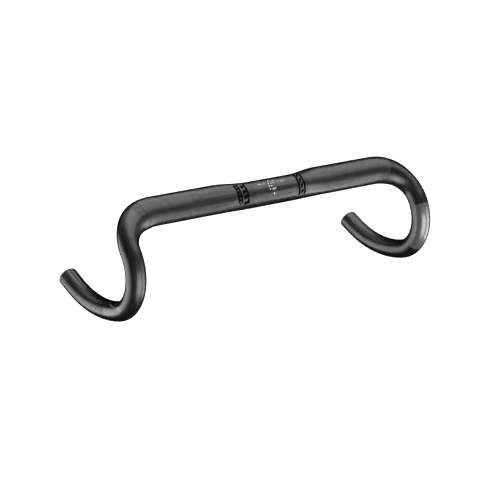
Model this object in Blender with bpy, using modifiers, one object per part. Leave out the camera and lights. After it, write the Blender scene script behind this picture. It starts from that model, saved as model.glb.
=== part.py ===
"""Drop handlebar: a bonded composite bar with expanding end plugs.

Frame: origin at the middle of the stem clamp zone, +X to the rider's left, +Y to the rear,
-Y the way the bicycle rides, +Z up. The bar is symmetric about the plane X = 0.
All lengths are in metres and all angles in radians.
"""

import math

import bmesh
import bpy
from mathutils import Matrix, Vector

# Centreline of one half, from the middle of the bar to its end.
TOPS_STRAIGHT = 0.1603
SHOULDER_RADII = (0.067, 0.039)
SHOULDER_ANGLES = (math.radians(22), math.radians(68))
RAMP = math.radians(8)
HOOK_LEAN = math.radians(1)
HOOK_RADIUS = 0.047
HOOK_ANGLE = math.radians(113.5)
DROP_RADIUS = 0.140
DROP_ANGLE = math.radians(40)
END_STRAIGHT = 0.0146

# Sections: round in the clamp zone, oval on the tops, round again from the levers on.
CLAMP_RADIUS = 0.0159
CLAMP_HALF_LENGTH = 0.030
OVAL_FROM = 0.075
OVAL_HALF_DEPTH = 0.018
OVAL_HALF_HEIGHT = 0.0134
OVAL_NOSE_DOWN = math.radians(5)
OVAL_SHIFT = Vector((0, 0.003, -0.0012))
DROP_TUBE_RADIUS = 0.0119
ROUND_AGAIN_BEFORE = 0.059
ROUND_AGAIN_OVER = 0.057

# How finely the skin is faceted: points round a section, rings over the taper from the clamp
# zone to the oval, and rings over each arc. The hook is split where it points straight down.
RING_POINTS = 24
TAPER_RINGS = 6
SHOULDER_RINGS = (2, 8)
FRONT_HOOK_RINGS = 9
REAR_HOOK_RINGS = 4
DROP_RINGS = 6
SMOOTH_UP_TO = math.radians(40)

# Walls and the bonded joint of each shoulder.
WALL = 0.002
GAP = 0.0003
BUTT_AT = 0.152
WRAP_FROM = 0.115
WRAP_TO = 0.180
WRAP_THICKNESS = 0.0005
SLEEVE_FROM = 0.125
SLEEVE_TO = 0.176
SLEEVE_THICKNESS = 0.0016

# Graphic films of the clamp zone: start and end along X, then start and end round the bar,
# measured from the front over the top.
FILM_THICKNESS = 0.00012
FILM_ARC = (math.radians(-15), math.radians(135))
LEFT_BAND = (0.0322, 0.0490)
RIGHT_BAND = (-0.0545, -0.0295)
CENTRE_SCALE = (-0.0240, 0.0165)
CENTRE_ARC = (math.radians(40), math.radians(135))

# End plug, along its own axis: 0 is the end face of the tube, positive is out of the bar.
FLANGE_TOP = 0.0018
FLANGE_CHAMFER = 0.0004
CAP_SPIGOT_RADIUS = 0.0094
CAP_BOTTOM = -0.0052
HEAD_RECESS_RADIUS = 0.0047
HEAD_RECESS_BOTTOM = -0.0028
SCREW_HOLE_RADIUS = 0.0023
WASHER_RADIUS = 0.0044
WASHER_THICKNESS = 0.0008
SCREW_RADIUS = 0.0020
SCREW_HEAD_RADIUS = 0.0035
SCREW_HEAD_HEIGHT = 0.0026
SCREW_HEAD_CHAMFER = 0.0003
SCREW_TIP = -0.0240
SCREW_TIP_CHAMFER = 0.0006
KEY_ACROSS_FLATS = 0.0025
KEY_DEPTH = 0.0015
COLLAR_RADIUS = 0.0093
COLLAR_BOTTOM = -0.0155
COLLAR_BORE_RADIUS = 0.0026
COLLAR_CONE_FROM = -0.0080
COLLAR_CONE_MOUTH = 0.0068
COLLAR_SLOT = 0.0024
WEDGE_TOP = -0.0110
WEDGE_CONE_SLACK = 0.0007
WEDGE_RADIUS = 0.0072
WEDGE_BOTTOM = -0.0195
WEDGE_KEY_WIDTH = 0.0016
WEDGE_KEY_REACH = 0.0089
WEDGE_KEY_BOTTOM = -0.0180
TURNED_STEPS = 24
MERGE_THRESHOLD = 0.00001
AXIS_MARK_SIZE = 0.01

# Heights that follow from the ones above, with one gap between neighbours.
WASHER_BOTTOM = HEAD_RECESS_BOTTOM + GAP
WASHER_TOP = WASHER_BOTTOM + WASHER_THICKNESS
HEAD_BOTTOM = WASHER_TOP + GAP
HEAD_TOP = HEAD_BOTTOM + SCREW_HEAD_HEIGHT
COLLAR_TOP = CAP_BOTTOM - GAP
CONE_SLOPE = (COLLAR_CONE_MOUTH - COLLAR_BORE_RADIUS) / (COLLAR_CONE_FROM - COLLAR_BOTTOM)

# Colour, roughness and metallic value of each finish.
FINISHES = {
    "satin_carbon": ((0.050, 0.051, 0.054), 0.38, 0.0),
    "wrap_carbon": ((0.055, 0.056, 0.059), 0.40, 0.0),
    "sleeve_carbon": ((0.035, 0.035, 0.037), 0.60, 0.0),
    "black_print": ((0.012, 0.012, 0.013), 0.45, 0.0),
    "white_print": ((0.820, 0.820, 0.830), 0.50, 0.0),
    "cap_plastic": ((0.020, 0.020, 0.021), 0.50, 0.0),
    "zinc_steel": ((0.560, 0.570, 0.580), 0.30, 1.0),
    "grey_nylon": ((0.230, 0.235, 0.240), 0.55, 0.0),
    "bare_aluminium": ((0.720, 0.730, 0.740), 0.32, 1.0),
}


def clear_scene():
    """Remove whatever the file already holds."""
    for obj in list(bpy.data.objects):
        bpy.data.objects.remove(obj, do_unlink=True)


def new_collection(name):
    """Make a collection and show it in the scene."""
    collection = bpy.data.collections.new(name)
    bpy.context.scene.collection.children.link(collection)
    return collection


def finish(name):
    """Return the named finish as a material, made on first use."""
    material = bpy.data.materials.get(name)
    if material is None:
        colour, roughness, metallic = FINISHES[name]
        material = bpy.data.materials.new(name)
        material.use_nodes = True
        shader = material.node_tree.nodes["Principled BSDF"]
        shader.inputs["Base Color"].default_value = (*colour, 1.0)
        shader.inputs["Roughness"].default_value = roughness
        shader.inputs["Metallic"].default_value = metallic
    return material


def smooth_step(value, start, length):
    """0 before start, 1 after start + length, and a smooth ramp between."""
    ratio = min(max((value - start) / length, 0.0), 1.0)
    return ratio * ratio * (3.0 - 2.0 * ratio)


# ---------------------------------------------------------------- centreline


def centreline_segments():
    """Straight runs and arcs of the left half: (length, radius or None, axis, angle)."""
    lever_run = Vector((0, -math.cos(RAMP), -math.sin(RAMP)))
    shoulder_axis = Vector((1, 0, 0)).cross(lever_run).normalized()
    down = Vector((math.sin(HOOK_LEAN), 0, -math.cos(HOOK_LEAN)))
    hook_axis = lever_run.cross(down).normalized()
    segments = [(TOPS_STRAIGHT, None, None, 0.0)]
    for radius, angle in zip(SHOULDER_RADII, SHOULDER_ANGLES):
        segments.append((radius * angle, radius, shoulder_axis, angle))
    segments.append((HOOK_RADIUS * HOOK_ANGLE, HOOK_RADIUS, hook_axis, HOOK_ANGLE))
    segments.append((DROP_RADIUS * DROP_ANGLE, DROP_RADIUS, hook_axis, DROP_ANGLE))
    segments.append((END_STRAIGHT, None, None, 0.0))
    return segments


SEGMENTS = centreline_segments()
BAR_LENGTH = sum(segment[0] for segment in SEGMENTS)
SHOULDER_END = sum(segment[0] for segment in SEGMENTS[:3])
HOOK_AXIS = SEGMENTS[3][2]
TUBE_END = BAR_LENGTH - FLANGE_TOP


def centreline(distance):
    """Point and direction of the left half's centreline at a distance from the middle."""
    point = Vector((0, 0, 0))
    direction = Vector((1, 0, 0))
    left = distance
    for length, radius, axis, angle in SEGMENTS:
        step = min(left, length)
        if radius is None:
            point = point + direction * step
        else:
            part = angle * step / length
            centre = point + axis.cross(direction) * radius
            turn = Matrix.Rotation(part, 3, axis)
            point = centre + turn @ (point - centre)
            direction = turn @ direction
        left -= step
        if left <= 0.0:
            break
    return point, direction.normalized()


def frame_at(distance):
    """Centre, direction and the section's two cross directions at a distance.

    The first cross direction starts forward and the second up. Past the shoulder the second
    one stays in the plane of the hook, on its outer side.
    """
    point, direction = centreline(distance)
    if distance < SHOULDER_END:
        upward = Vector((-math.sin(HOOK_LEAN), 0, math.cos(HOOK_LEAN)))
        second = (upward - direction * upward.dot(direction)).normalized()
    else:
        second = direction.cross(HOOK_AXIS).normalized()
    first = direction.cross(second).normalized()
    return point, direction, first, second


def skin_point(distance, turn, lift):
    """A point of the bar's outer skin, lifted off it by a small height.

    distance runs along the centreline and is negative on the rider's right; turn goes round
    the section from the front over the top.
    """
    side = -1.0 if distance < 0 else 1.0
    along = abs(distance)
    point, direction, first, second = frame_at(along)
    oval = smooth_step(along, CLAMP_HALF_LENGTH, OVAL_FROM - CLAMP_HALF_LENGTH)
    round_again = smooth_step(along, SHOULDER_END - ROUND_AGAIN_BEFORE, ROUND_AGAIN_OVER)
    depth = CLAMP_RADIUS + (OVAL_HALF_DEPTH - CLAMP_RADIUS) * oval
    height = CLAMP_RADIUS + (OVAL_HALF_HEIGHT - CLAMP_RADIUS) * oval
    depth += (DROP_TUBE_RADIUS - depth) * round_again
    height += (DROP_TUBE_RADIUS - height) * round_again
    share = oval * (1.0 - round_again)
    tilt = Matrix.Rotation(OVAL_NOSE_DOWN * share, 3, direction)
    place = point + OVAL_SHIFT * share
    place += (tilt @ first) * (depth + lift) * math.cos(turn)
    place += (tilt @ second) * (height + lift) * math.sin(turn)
    return Vector((place.x * side, place.y, place.z))


def stations():
    """Distances along one half at which every shell has a ring, so that neighbours match."""
    stops = [0.0, CLAMP_HALF_LENGTH]
    taper = OVAL_FROM - CLAMP_HALF_LENGTH
    for index in range(1, TAPER_RINGS + 1):
        stops.append(CLAMP_HALF_LENGTH + taper * index / TAPER_RINGS)
    stops.append(TOPS_STRAIGHT)
    front_most = math.pi / 2 - RAMP
    arcs = (
        (SHOULDER_RADII[0], SHOULDER_ANGLES[0], SHOULDER_RINGS[0]),
        (SHOULDER_RADII[1], SHOULDER_ANGLES[1], SHOULDER_RINGS[1]),
        (HOOK_RADIUS, front_most, FRONT_HOOK_RINGS),
        (HOOK_RADIUS, HOOK_ANGLE - front_most, REAR_HOOK_RINGS),
        (DROP_RADIUS, DROP_ANGLE, DROP_RINGS),
    )
    for radius, angle, rings in arcs:
        start = stops[-1]
        for index in range(1, rings + 1):
            stops.append(start + radius * angle * index / rings)
    return sorted(stops + [SLEEVE_TO, WRAP_TO])


STATIONS = stations()


def run_of_stops(start, end, lift):
    """Stops (distance, lift) from start to end, with every station between them."""
    low, high = sorted((start, end))
    both_halves = set(STATIONS) | {-stop for stop in STATIONS}
    between = [stop for stop in both_halves if low + GAP < stop < high - GAP]
    between.sort(reverse=start > end)
    return [(start, lift)] + [(stop, lift) for stop in between] + [(end, lift)]


# ---------------------------------------------------------------- shells and films


def add_object(name, mesh, finish_name, collection):
    """Put a mesh in the collection as a named object with its finish."""
    obj = bpy.data.objects.new(name, mesh)
    collection.objects.link(obj)
    mesh.materials.append(finish(finish_name))
    return obj


def smooth(mesh):
    """Shade smooth, but keep every edge sharper than the limit crisp."""
    mesh.shade_smooth()
    mesh.set_sharp_from_angle(angle=SMOOTH_UP_TO)


def shell(name, stops, finish_name, collection):
    """A closed tube wall: rings at the stops of its outside, then back along its bore."""
    mesh = bpy.data.meshes.new(name)
    bm = bmesh.new()
    rings = []
    for distance, lift in stops:
        ring = []
        for index in range(RING_POINTS):
            turn = 2.0 * math.pi * index / RING_POINTS
            ring.append(bm.verts.new(skin_point(distance, turn, lift)))
        rings.append(ring)
    for ring, following in zip(rings, rings[1:] + rings[:1]):
        for index in range(RING_POINTS):
            after = (index + 1) % RING_POINTS
            bm.faces.new((ring[index], ring[after], following[after], following[index]))
    bmesh.ops.recalc_face_normals(bm, faces=bm.faces)
    bm.to_mesh(mesh)
    bm.free()
    smooth(mesh)
    return add_object(name, mesh, finish_name, collection)


def film(name, span, arc, finish_name, collection):
    """A thin printed film that follows the skin over part of its girth."""
    mesh = bpy.data.meshes.new(name)
    bm = bmesh.new()
    step = 2.0 * math.pi / RING_POINTS
    first = math.ceil(arc[0] / step)
    last = math.floor(arc[1] / step)
    turns = [arc[0]] + [step * index for index in range(first, last + 1)] + [arc[1]]
    turns = sorted(set(round(turn, 6) for turn in turns))
    rows = []
    for distance, lift in run_of_stops(span[0], span[1], GAP):
        rows.append([bm.verts.new(skin_point(distance, turn, lift)) for turn in turns])
    for row, following in zip(rows, rows[1:]):
        for index in range(len(turns) - 1):
            corners = (row[index], row[index + 1], following[index + 1], following[index])
            bm.faces.new(corners)
    bm.to_mesh(mesh)
    bm.free()
    smooth(mesh)
    obj = add_object(name, mesh, finish_name, collection)
    solidify = obj.modifiers.new("film", "SOLIDIFY")
    solidify.thickness = FILM_THICKNESS
    solidify.offset = 1.0
    return obj


def build_bar(collection):
    """Centre section, the two drops, and each shoulder's bonded joint."""
    rebate = -(WRAP_THICKNESS + GAP)
    outside = run_of_stops(-BUTT_AT, -WRAP_FROM, rebate)
    outside += run_of_stops(-WRAP_FROM, WRAP_FROM, 0.0)
    outside += run_of_stops(WRAP_FROM, BUTT_AT, rebate)
    bore = run_of_stops(BUTT_AT, -BUTT_AT, -WALL)
    shell("centre_section", outside + bore, "satin_carbon", collection)
    for side, word in ((1.0, "left"), (-1.0, "right")):
        start = BUTT_AT + GAP
        outside = run_of_stops(side * start, side * WRAP_TO, rebate)
        outside += run_of_stops(side * WRAP_TO, side * TUBE_END, 0.0)
        bore = run_of_stops(side * TUBE_END, side * start, -WALL)
        shell(word + "_drop", outside + bore, "satin_carbon", collection)

        ends = (side * (WRAP_FROM + GAP), side * (WRAP_TO - GAP))
        stops = run_of_stops(ends[0], ends[1], 0.0)
        stops += run_of_stops(ends[1], ends[0], -WRAP_THICKNESS)
        shell(word + "_joint_wrap", stops, "wrap_carbon", collection)

        outer = -(WALL + GAP)
        ends = (side * SLEEVE_FROM, side * SLEEVE_TO)
        stops = run_of_stops(ends[0], ends[1], outer)
        stops += run_of_stops(ends[1], ends[0], outer - SLEEVE_THICKNESS)
        shell(word + "_joint_sleeve", stops, "sleeve_carbon", collection)


def build_films(collection):
    """The two printed bands of the clamp zone and the centring scale between them."""
    film("left_graphic_band", LEFT_BAND, FILM_ARC, "black_print", collection)
    film("right_graphic_band", RIGHT_BAND, FILM_ARC, "black_print", collection)
    film("centre_scale", CENTRE_SCALE, CENTRE_ARC, "white_print", collection)


# ---------------------------------------------------------------- end plugs


def turned(name, profile, finish_name, collection, closed):
    """A turned piece from (radius, height) points down its outer side, then back inside.

    A closed profile leaves a hole along the axis; an open one starts and ends on the axis.
    """
    mesh = bpy.data.meshes.new(name)
    corners = [(radius, 0.0, height) for radius, height in profile]
    edges = [(index, index + 1) for index in range(len(corners) - 1)]
    if closed:
        edges.append((len(corners) - 1, 0))
    mesh.from_pydata(corners, edges, [])
    obj = add_object(name, mesh, finish_name, collection)
    screw = obj.modifiers.new("turn", "SCREW")
    screw.axis = "Z"
    screw.steps = TURNED_STEPS
    screw.render_steps = TURNED_STEPS
    screw.use_merge_vertices = True
    screw.merge_threshold = MERGE_THRESHOLD
    screw.use_smooth_shade = False
    return obj


def add_cutter(name, cutters):
    """The object just added by a primitive operator, put among the cutters."""
    cutter = bpy.context.active_object
    cutter.name = name
    for collection in list(cutter.users_collection):
        collection.objects.unlink(cutter)
    cutters.objects.link(cutter)
    cutter.hide_render = True
    cutter.display_type = "WIRE"
    return cutter


def box_cutter(name, low, high, cutters):
    """A box between two corners, put among the cutters."""
    middle = (Vector(low) + Vector(high)) / 2
    bpy.ops.mesh.primitive_cube_add(size=1.0, location=middle)
    bpy.context.active_object.scale = Vector(high) - Vector(low)
    bpy.ops.object.transform_apply(location=False, rotation=False, scale=True)
    return add_cutter(name, cutters)


def boolean(obj, tool, operation):
    """Cut the tool from the object, or join it on."""
    modifier = obj.modifiers.new(operation.lower(), "BOOLEAN")
    modifier.object = tool
    modifier.operation = operation


def cap_profile():
    """The cap: a flange over the tube's end, a spigot in its bore, and the screw's recess."""
    flange_underside = GAP
    return [
        (DROP_TUBE_RADIUS - FLANGE_CHAMFER, FLANGE_TOP),
        (DROP_TUBE_RADIUS, FLANGE_TOP - FLANGE_CHAMFER),
        (DROP_TUBE_RADIUS, flange_underside),
        (CAP_SPIGOT_RADIUS, flange_underside),
        (CAP_SPIGOT_RADIUS, CAP_BOTTOM),
        (SCREW_HOLE_RADIUS, CAP_BOTTOM),
        (SCREW_HOLE_RADIUS, HEAD_RECESS_BOTTOM),
        (HEAD_RECESS_RADIUS, HEAD_RECESS_BOTTOM),
        (HEAD_RECESS_RADIUS, FLANGE_TOP),
    ]


def washer_profile():
    """A flat washer in the cap's recess."""
    return [
        (WASHER_RADIUS, WASHER_TOP),
        (WASHER_RADIUS, WASHER_BOTTOM),
        (SCREW_HOLE_RADIUS, WASHER_BOTTOM),
        (SCREW_HOLE_RADIUS, WASHER_TOP),
    ]


def screw_profile():
    """A socket-head screw with chamfered head and tip."""
    return [
        (0.0, HEAD_TOP),
        (SCREW_HEAD_RADIUS - SCREW_HEAD_CHAMFER, HEAD_TOP),
        (SCREW_HEAD_RADIUS, HEAD_TOP - SCREW_HEAD_CHAMFER),
        (SCREW_HEAD_RADIUS, HEAD_BOTTOM),
        (SCREW_RADIUS, HEAD_BOTTOM),
        (SCREW_RADIUS, SCREW_TIP + SCREW_TIP_CHAMFER),
        (SCREW_RADIUS - SCREW_TIP_CHAMFER, SCREW_TIP),
        (0.0, SCREW_TIP),
    ]


def collar_profile():
    """The expander collar, with the cone the wedge nut is drawn into."""
    return [
        (COLLAR_RADIUS, COLLAR_TOP),
        (COLLAR_RADIUS, COLLAR_BOTTOM),
        (COLLAR_CONE_MOUTH, COLLAR_BOTTOM),
        (COLLAR_BORE_RADIUS, COLLAR_CONE_FROM),
        (COLLAR_BORE_RADIUS, COLLAR_TOP),
    ]


def wedge_profile():
    """The wedge nut: a cone that matches the collar's, on a plain cylinder."""
    cone_from = COLLAR_CONE_FROM - WEDGE_CONE_SLACK
    top_radius = COLLAR_BORE_RADIUS + CONE_SLOPE * (cone_from - WEDGE_TOP)
    full_radius_at = cone_from - (WEDGE_RADIUS - COLLAR_BORE_RADIUS) / CONE_SLOPE
    return [
        (top_radius, WEDGE_TOP),
        (WEDGE_RADIUS, full_radius_at),
        (WEDGE_RADIUS, WEDGE_BOTTOM),
        (SCREW_HOLE_RADIUS, WEDGE_BOTTOM),
        (SCREW_HOLE_RADIUS, WEDGE_TOP),
    ]


def build_plug(side, word, collection, cutters):
    """One expanding plug on an empty whose Z axis points out of the bar's end."""
    point, direction, first = frame_at(TUBE_END)[:3]
    mirror = Vector((side, 1.0, 1.0))
    outward = direction * mirror
    sideways = -first * mirror
    third = outward.cross(sideways)
    axes = Matrix((sideways, third, outward)).transposed().to_4x4()
    holder = bpy.data.objects.new(word + "_plug_axis", None)
    collection.objects.link(holder)
    holder.empty_display_size = AXIS_MARK_SIZE
    holder.matrix_world = Matrix.Translation(point * mirror) @ axes

    cap = turned(word + "_end_cap", cap_profile(), "cap_plastic", collection, True)
    washer = turned(word + "_plug_washer", washer_profile(), "zinc_steel", collection, True)
    screw = turned(word + "_plug_screw", screw_profile(), "zinc_steel", collection, False)
    collar = turned(word + "_expander_collar", collar_profile(), "grey_nylon", collection, True)
    wedge = turned(word + "_wedge_nut", wedge_profile(), "bare_aluminium", collection, True)

    bpy.ops.mesh.primitive_cylinder_add(
        vertices=6,
        radius=KEY_ACROSS_FLATS / math.sqrt(3.0),
        depth=2.0 * KEY_DEPTH,
        location=(0, 0, HEAD_TOP),
    )
    key = add_cutter(word + "_key_cutter", cutters)
    boolean(screw, key, "DIFFERENCE")

    half_slot = COLLAR_SLOT / 2
    slot_low = (0.0, -half_slot, COLLAR_BOTTOM - WALL)
    slot_high = (COLLAR_RADIUS + WALL, half_slot, COLLAR_TOP + WALL)
    slot = box_cutter(word + "_slot_cutter", slot_low, slot_high, cutters)
    boolean(collar, slot, "DIFFERENCE")

    half_key = WEDGE_KEY_WIDTH / 2
    key_low = (SCREW_HEAD_RADIUS, -half_key, WEDGE_KEY_BOTTOM)
    key_high = (WEDGE_KEY_REACH, half_key, WEDGE_TOP - GAP)
    key_block = box_cutter(word + "_wedge_key", key_low, key_high, cutters)
    boolean(wedge, key_block, "UNION")

    for piece in (cap, washer, screw, collar, wedge, key, slot, key_block):
        piece.parent = holder


def main():
    """Build the bar, its printed films and the two end plugs."""
    clear_scene()
    parts = new_collection("drop_handlebar")
    cutters = new_collection("cutters")
    build_bar(parts)
    build_films(parts)
    build_plug(1.0, "left", parts, cutters)
    build_plug(-1.0, "right", parts, cutters)


main()
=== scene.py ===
"""Looks of a compact drop handlebar with expanding end plugs.

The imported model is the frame: +X is the rider's left, -Y the way the bicycle rides, +Z up, and
the origin is the middle of the stem clamp zone. Every length is in metres. Each sub-assembly is a
class that holds its sizes, builds its meshes and dresses them; each finish is a frozen dataclass.
"""

import enum
import functools
import logging
import math
from collections.abc import Callable, Iterable, Sequence
from dataclasses import dataclass, field

import bmesh
import bpy
import numpy as np
from mathutils import Matrix, Vector


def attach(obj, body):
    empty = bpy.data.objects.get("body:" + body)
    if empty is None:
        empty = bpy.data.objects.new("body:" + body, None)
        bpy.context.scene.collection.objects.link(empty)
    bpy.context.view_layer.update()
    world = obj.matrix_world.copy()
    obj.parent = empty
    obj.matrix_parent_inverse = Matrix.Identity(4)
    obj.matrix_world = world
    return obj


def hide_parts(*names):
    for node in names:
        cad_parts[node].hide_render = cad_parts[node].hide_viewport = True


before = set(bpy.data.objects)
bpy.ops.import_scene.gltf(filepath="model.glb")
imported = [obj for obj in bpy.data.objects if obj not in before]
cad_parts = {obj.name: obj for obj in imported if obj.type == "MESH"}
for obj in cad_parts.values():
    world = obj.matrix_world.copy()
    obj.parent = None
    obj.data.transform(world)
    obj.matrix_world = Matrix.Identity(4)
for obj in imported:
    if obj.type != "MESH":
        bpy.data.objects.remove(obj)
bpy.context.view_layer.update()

LOG = logging.getLogger("drop_handlebar")
PLY_ATTRIBUTE = "ply_place"
BIAS_ATTRIBUTE = "bias_place"
RUB_ATTRIBUTE = "edge_rub"
# Mesh attribute that carries the painted highlight and shade of the light patches.
PAINTED_LIGHT_ATTRIBUTE = "ply_catch"
FULL_TURN = 2.0 * math.pi


class Side(enum.Enum):
    """The two halves of the bar, as signs of X."""

    LEFT = 1.0
    RIGHT = -1.0

    @property
    def word(self) -> str:
        """The side's name, as the nodes use it."""
        return self.name.lower()


class Ply(enum.Enum):
    """The way the outermost fibres run, as the attribute that carries their coordinates."""

    LENGTHWISE = PLY_ATTRIBUTE
    BIAS = BIAS_ATTRIBUTE


class Ink(enum.IntEnum):
    """The print colours of a film, as material indices."""

    MAIN = 0
    OUTLINE = 1
    GHOST = 2


# ------------------------------------------------------------------ shader effects


def new_group(
    name: str,
    inputs: Sequence[tuple[str, str, float | None]],
    outputs: Sequence[tuple[str, str]],
) -> tuple[bpy.types.NodeTree, bpy.types.Node, bpy.types.Node]:
    """Start a shader node group.

    Args:
        name: The group's name.
        inputs: Socket name, socket type and default value of each input.
        outputs: Socket name and socket type of each output.

    Returns:
        The group's tree, its input node and its output node.
    """
    tree = bpy.data.node_groups.new(name, "ShaderNodeTree")
    for label, kind, default in inputs:
        socket = tree.interface.new_socket(name=label, in_out="INPUT", socket_type=kind)
        if default is not None:
            socket.default_value = default
    for label, kind in outputs:
        tree.interface.new_socket(name=label, in_out="OUTPUT", socket_type=kind)
    return tree, tree.nodes.new("NodeGroupInput"), tree.nodes.new("NodeGroupOutput")


def math_node(
    tree: bpy.types.NodeTree,
    operation: str,
    first: bpy.types.NodeSocket | float,
    second: bpy.types.NodeSocket | float = 0.0,
    clamp: bool = False,
) -> bpy.types.NodeSocket:
    """Add a Math node.

    Args:
        tree: The tree it goes in.
        operation: The node's operation, such as MULTIPLY.
        first: A socket or a number for its first value.
        second: A socket or a number for its second value.
        clamp: Whether the result is kept between 0 and 1.

    Returns:
        The node's output socket.
    """
    node = tree.nodes.new("ShaderNodeMath")
    node.operation = operation
    node.use_clamp = clamp
    for index, value in enumerate((first, second)):
        if isinstance(value, bpy.types.NodeSocket):
            tree.links.new(value, node.inputs[index])
        else:
            node.inputs[index].default_value = value
    return node.outputs[0]


def noise_node(
    tree: bpy.types.NodeTree,
    vector: bpy.types.NodeSocket,
    scale: float,
    detail: float = 2.0,
    roughness: float = 0.5,
) -> bpy.types.NodeSocket:
    """Add a three-dimensional Noise texture.

    Args:
        tree: The tree it goes in.
        vector: The coordinates.
        scale: Features per metre.
        detail: Octaves of detail.
        roughness: How much the finer octaves count.

    Returns:
        The noise value's socket, 0 to 1.
    """
    node = tree.nodes.new("ShaderNodeTexNoise")
    node.inputs["Scale"].default_value = scale
    node.inputs["Detail"].default_value = detail
    node.inputs["Roughness"].default_value = roughness
    tree.links.new(vector, node.inputs["Vector"])
    return node.outputs["Fac"]


def stretched(
    tree: bpy.types.NodeTree, vector: bpy.types.NodeSocket, along: float
) -> bpy.types.NodeSocket:
    """Scale coordinates along the fibres.

    Args:
        tree: The tree it goes in.
        vector: Coordinates whose first component runs along the fibres.
        along: The factor on that component; below 1 it draws features out.

    Returns:
        The scaled coordinates' socket.
    """
    node = tree.nodes.new("ShaderNodeVectorMath")
    node.operation = "MULTIPLY"
    node.inputs[1].default_value = (along, 1.0, 1.0)
    tree.links.new(vector, node.inputs[0])
    return node.outputs["Vector"]


def ranged(
    tree: bpy.types.NodeTree,
    value: bpy.types.NodeSocket,
    span: tuple[float, float],
    result: tuple[float, float],
) -> bpy.types.NodeSocket:
    """Map a value from one range to another, and clamp it there.

    Args:
        tree: The tree it goes in.
        value: The value's socket.
        span: The range it comes in.
        result: The range it leaves in.

    Returns:
        The mapped value's socket.
    """
    node = tree.nodes.new("ShaderNodeMapRange")
    node.inputs["From Min"].default_value = span[0]
    node.inputs["From Max"].default_value = span[1]
    node.inputs["To Min"].default_value = result[0]
    node.inputs["To Max"].default_value = result[1]
    tree.links.new(value, node.inputs["Value"])
    return node.outputs["Result"]


@functools.cache
def fibre_group() -> bpy.types.NodeTree:
    """Unidirectional fibres: broad tows and single fibres drawn out along the ply."""
    tree, start, end = new_group(
        "unidirectional_fibres",
        [("Place", "NodeSocketVector", None), ("Contrast", "NodeSocketFloat", 1.0)],
        [("Tone", "NodeSocketFloat"), ("Height", "NodeSocketFloat")],
    )
    place = start.outputs["Place"]
    tows = noise_node(tree, stretched(tree, place, 0.035), 420.0, 1.0)
    fibres = noise_node(tree, stretched(tree, place, 0.020), 3600.0, 2.0, 0.6)
    mottle = noise_node(tree, stretched(tree, place, 0.45), 560.0, 2.0)
    tow_share = math_node(tree, "MULTIPLY", tows, 0.38)
    fibre_share = math_node(tree, "MULTIPLY", fibres, 0.27)
    mottle_share = math_node(tree, "MULTIPLY", mottle, 0.35)
    both = math_node(tree, "ADD", tow_share, fibre_share)
    mixed = math_node(tree, "ADD", both, mottle_share)
    centred = math_node(tree, "SUBTRACT", mixed, 0.5)
    scaled = math_node(tree, "MULTIPLY", centred, start.outputs["Contrast"])
    tree.links.new(math_node(tree, "ADD", scaled, 0.5, True), end.inputs["Tone"])
    tree.links.new(both, end.inputs["Height"])
    return tree


@functools.cache
def wear_group() -> bpy.types.NodeTree:
    """Handling wear: hair scratches along and across the piece, and a thin film of dust."""
    tree, start, end = new_group(
        "handling_wear",
        [("Place", "NodeSocketVector", None), ("Amount", "NodeSocketFloat", 1.0)],
        [("Scratches", "NodeSocketFloat"), ("Dust", "NodeSocketFloat")],
    )
    place = start.outputs["Place"]
    hairs = noise_node(tree, stretched(tree, place, 0.05), 2200.0, 0.0)
    patches = noise_node(tree, place, 70.0, 1.0)
    thin = ranged(tree, hairs, (0.66, 0.72), (0.0, 1.0))
    where = ranged(tree, patches, (0.52, 0.66), (0.0, 1.0))
    scratches = math_node(tree, "MULTIPLY", thin, where)
    worn = math_node(tree, "MULTIPLY", scratches, start.outputs["Amount"], True)
    tree.links.new(worn, end.inputs["Scratches"])
    specks = noise_node(tree, place, 5200.0, 1.0)
    haze = noise_node(tree, place, 38.0, 3.0)
    dots = ranged(tree, specks, (0.70, 0.76), (0.0, 1.0))
    veil = ranged(tree, haze, (0.40, 0.75), (0.0, 0.35))
    dust = math_node(tree, "ADD", dots, veil)
    settled = math_node(tree, "MULTIPLY", dust, start.outputs["Amount"], True)
    tree.links.new(settled, end.inputs["Dust"])
    return tree


@functools.cache
def grain_group() -> bpy.types.NodeTree:
    """The fine spark-eroded grain of a moulding, with slow flow marks in its tone."""
    tree, start, end = new_group(
        "moulded_grain",
        [("Place", "NodeSocketVector", None), ("Size", "NodeSocketFloat", 1.0)],
        [("Tone", "NodeSocketFloat"), ("Height", "NodeSocketFloat")],
    )
    scale = tree.nodes.new("ShaderNodeVectorMath")
    scale.operation = "SCALE"
    tree.links.new(start.outputs["Place"], scale.inputs[0])
    inverse = math_node(tree, "DIVIDE", 1.0, start.outputs["Size"])
    tree.links.new(inverse, scale.inputs["Scale"])
    grain = noise_node(tree, scale.outputs["Vector"], 4200.0, 2.0, 0.6)
    flow = noise_node(tree, start.outputs["Place"], 160.0, 2.0)
    tree.links.new(ranged(tree, flow, (0.3, 0.7), (0.0, 1.0)), end.inputs["Tone"])
    tree.links.new(grain, end.inputs["Height"])
    return tree


# ------------------------------------------------------------------ finishes


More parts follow.
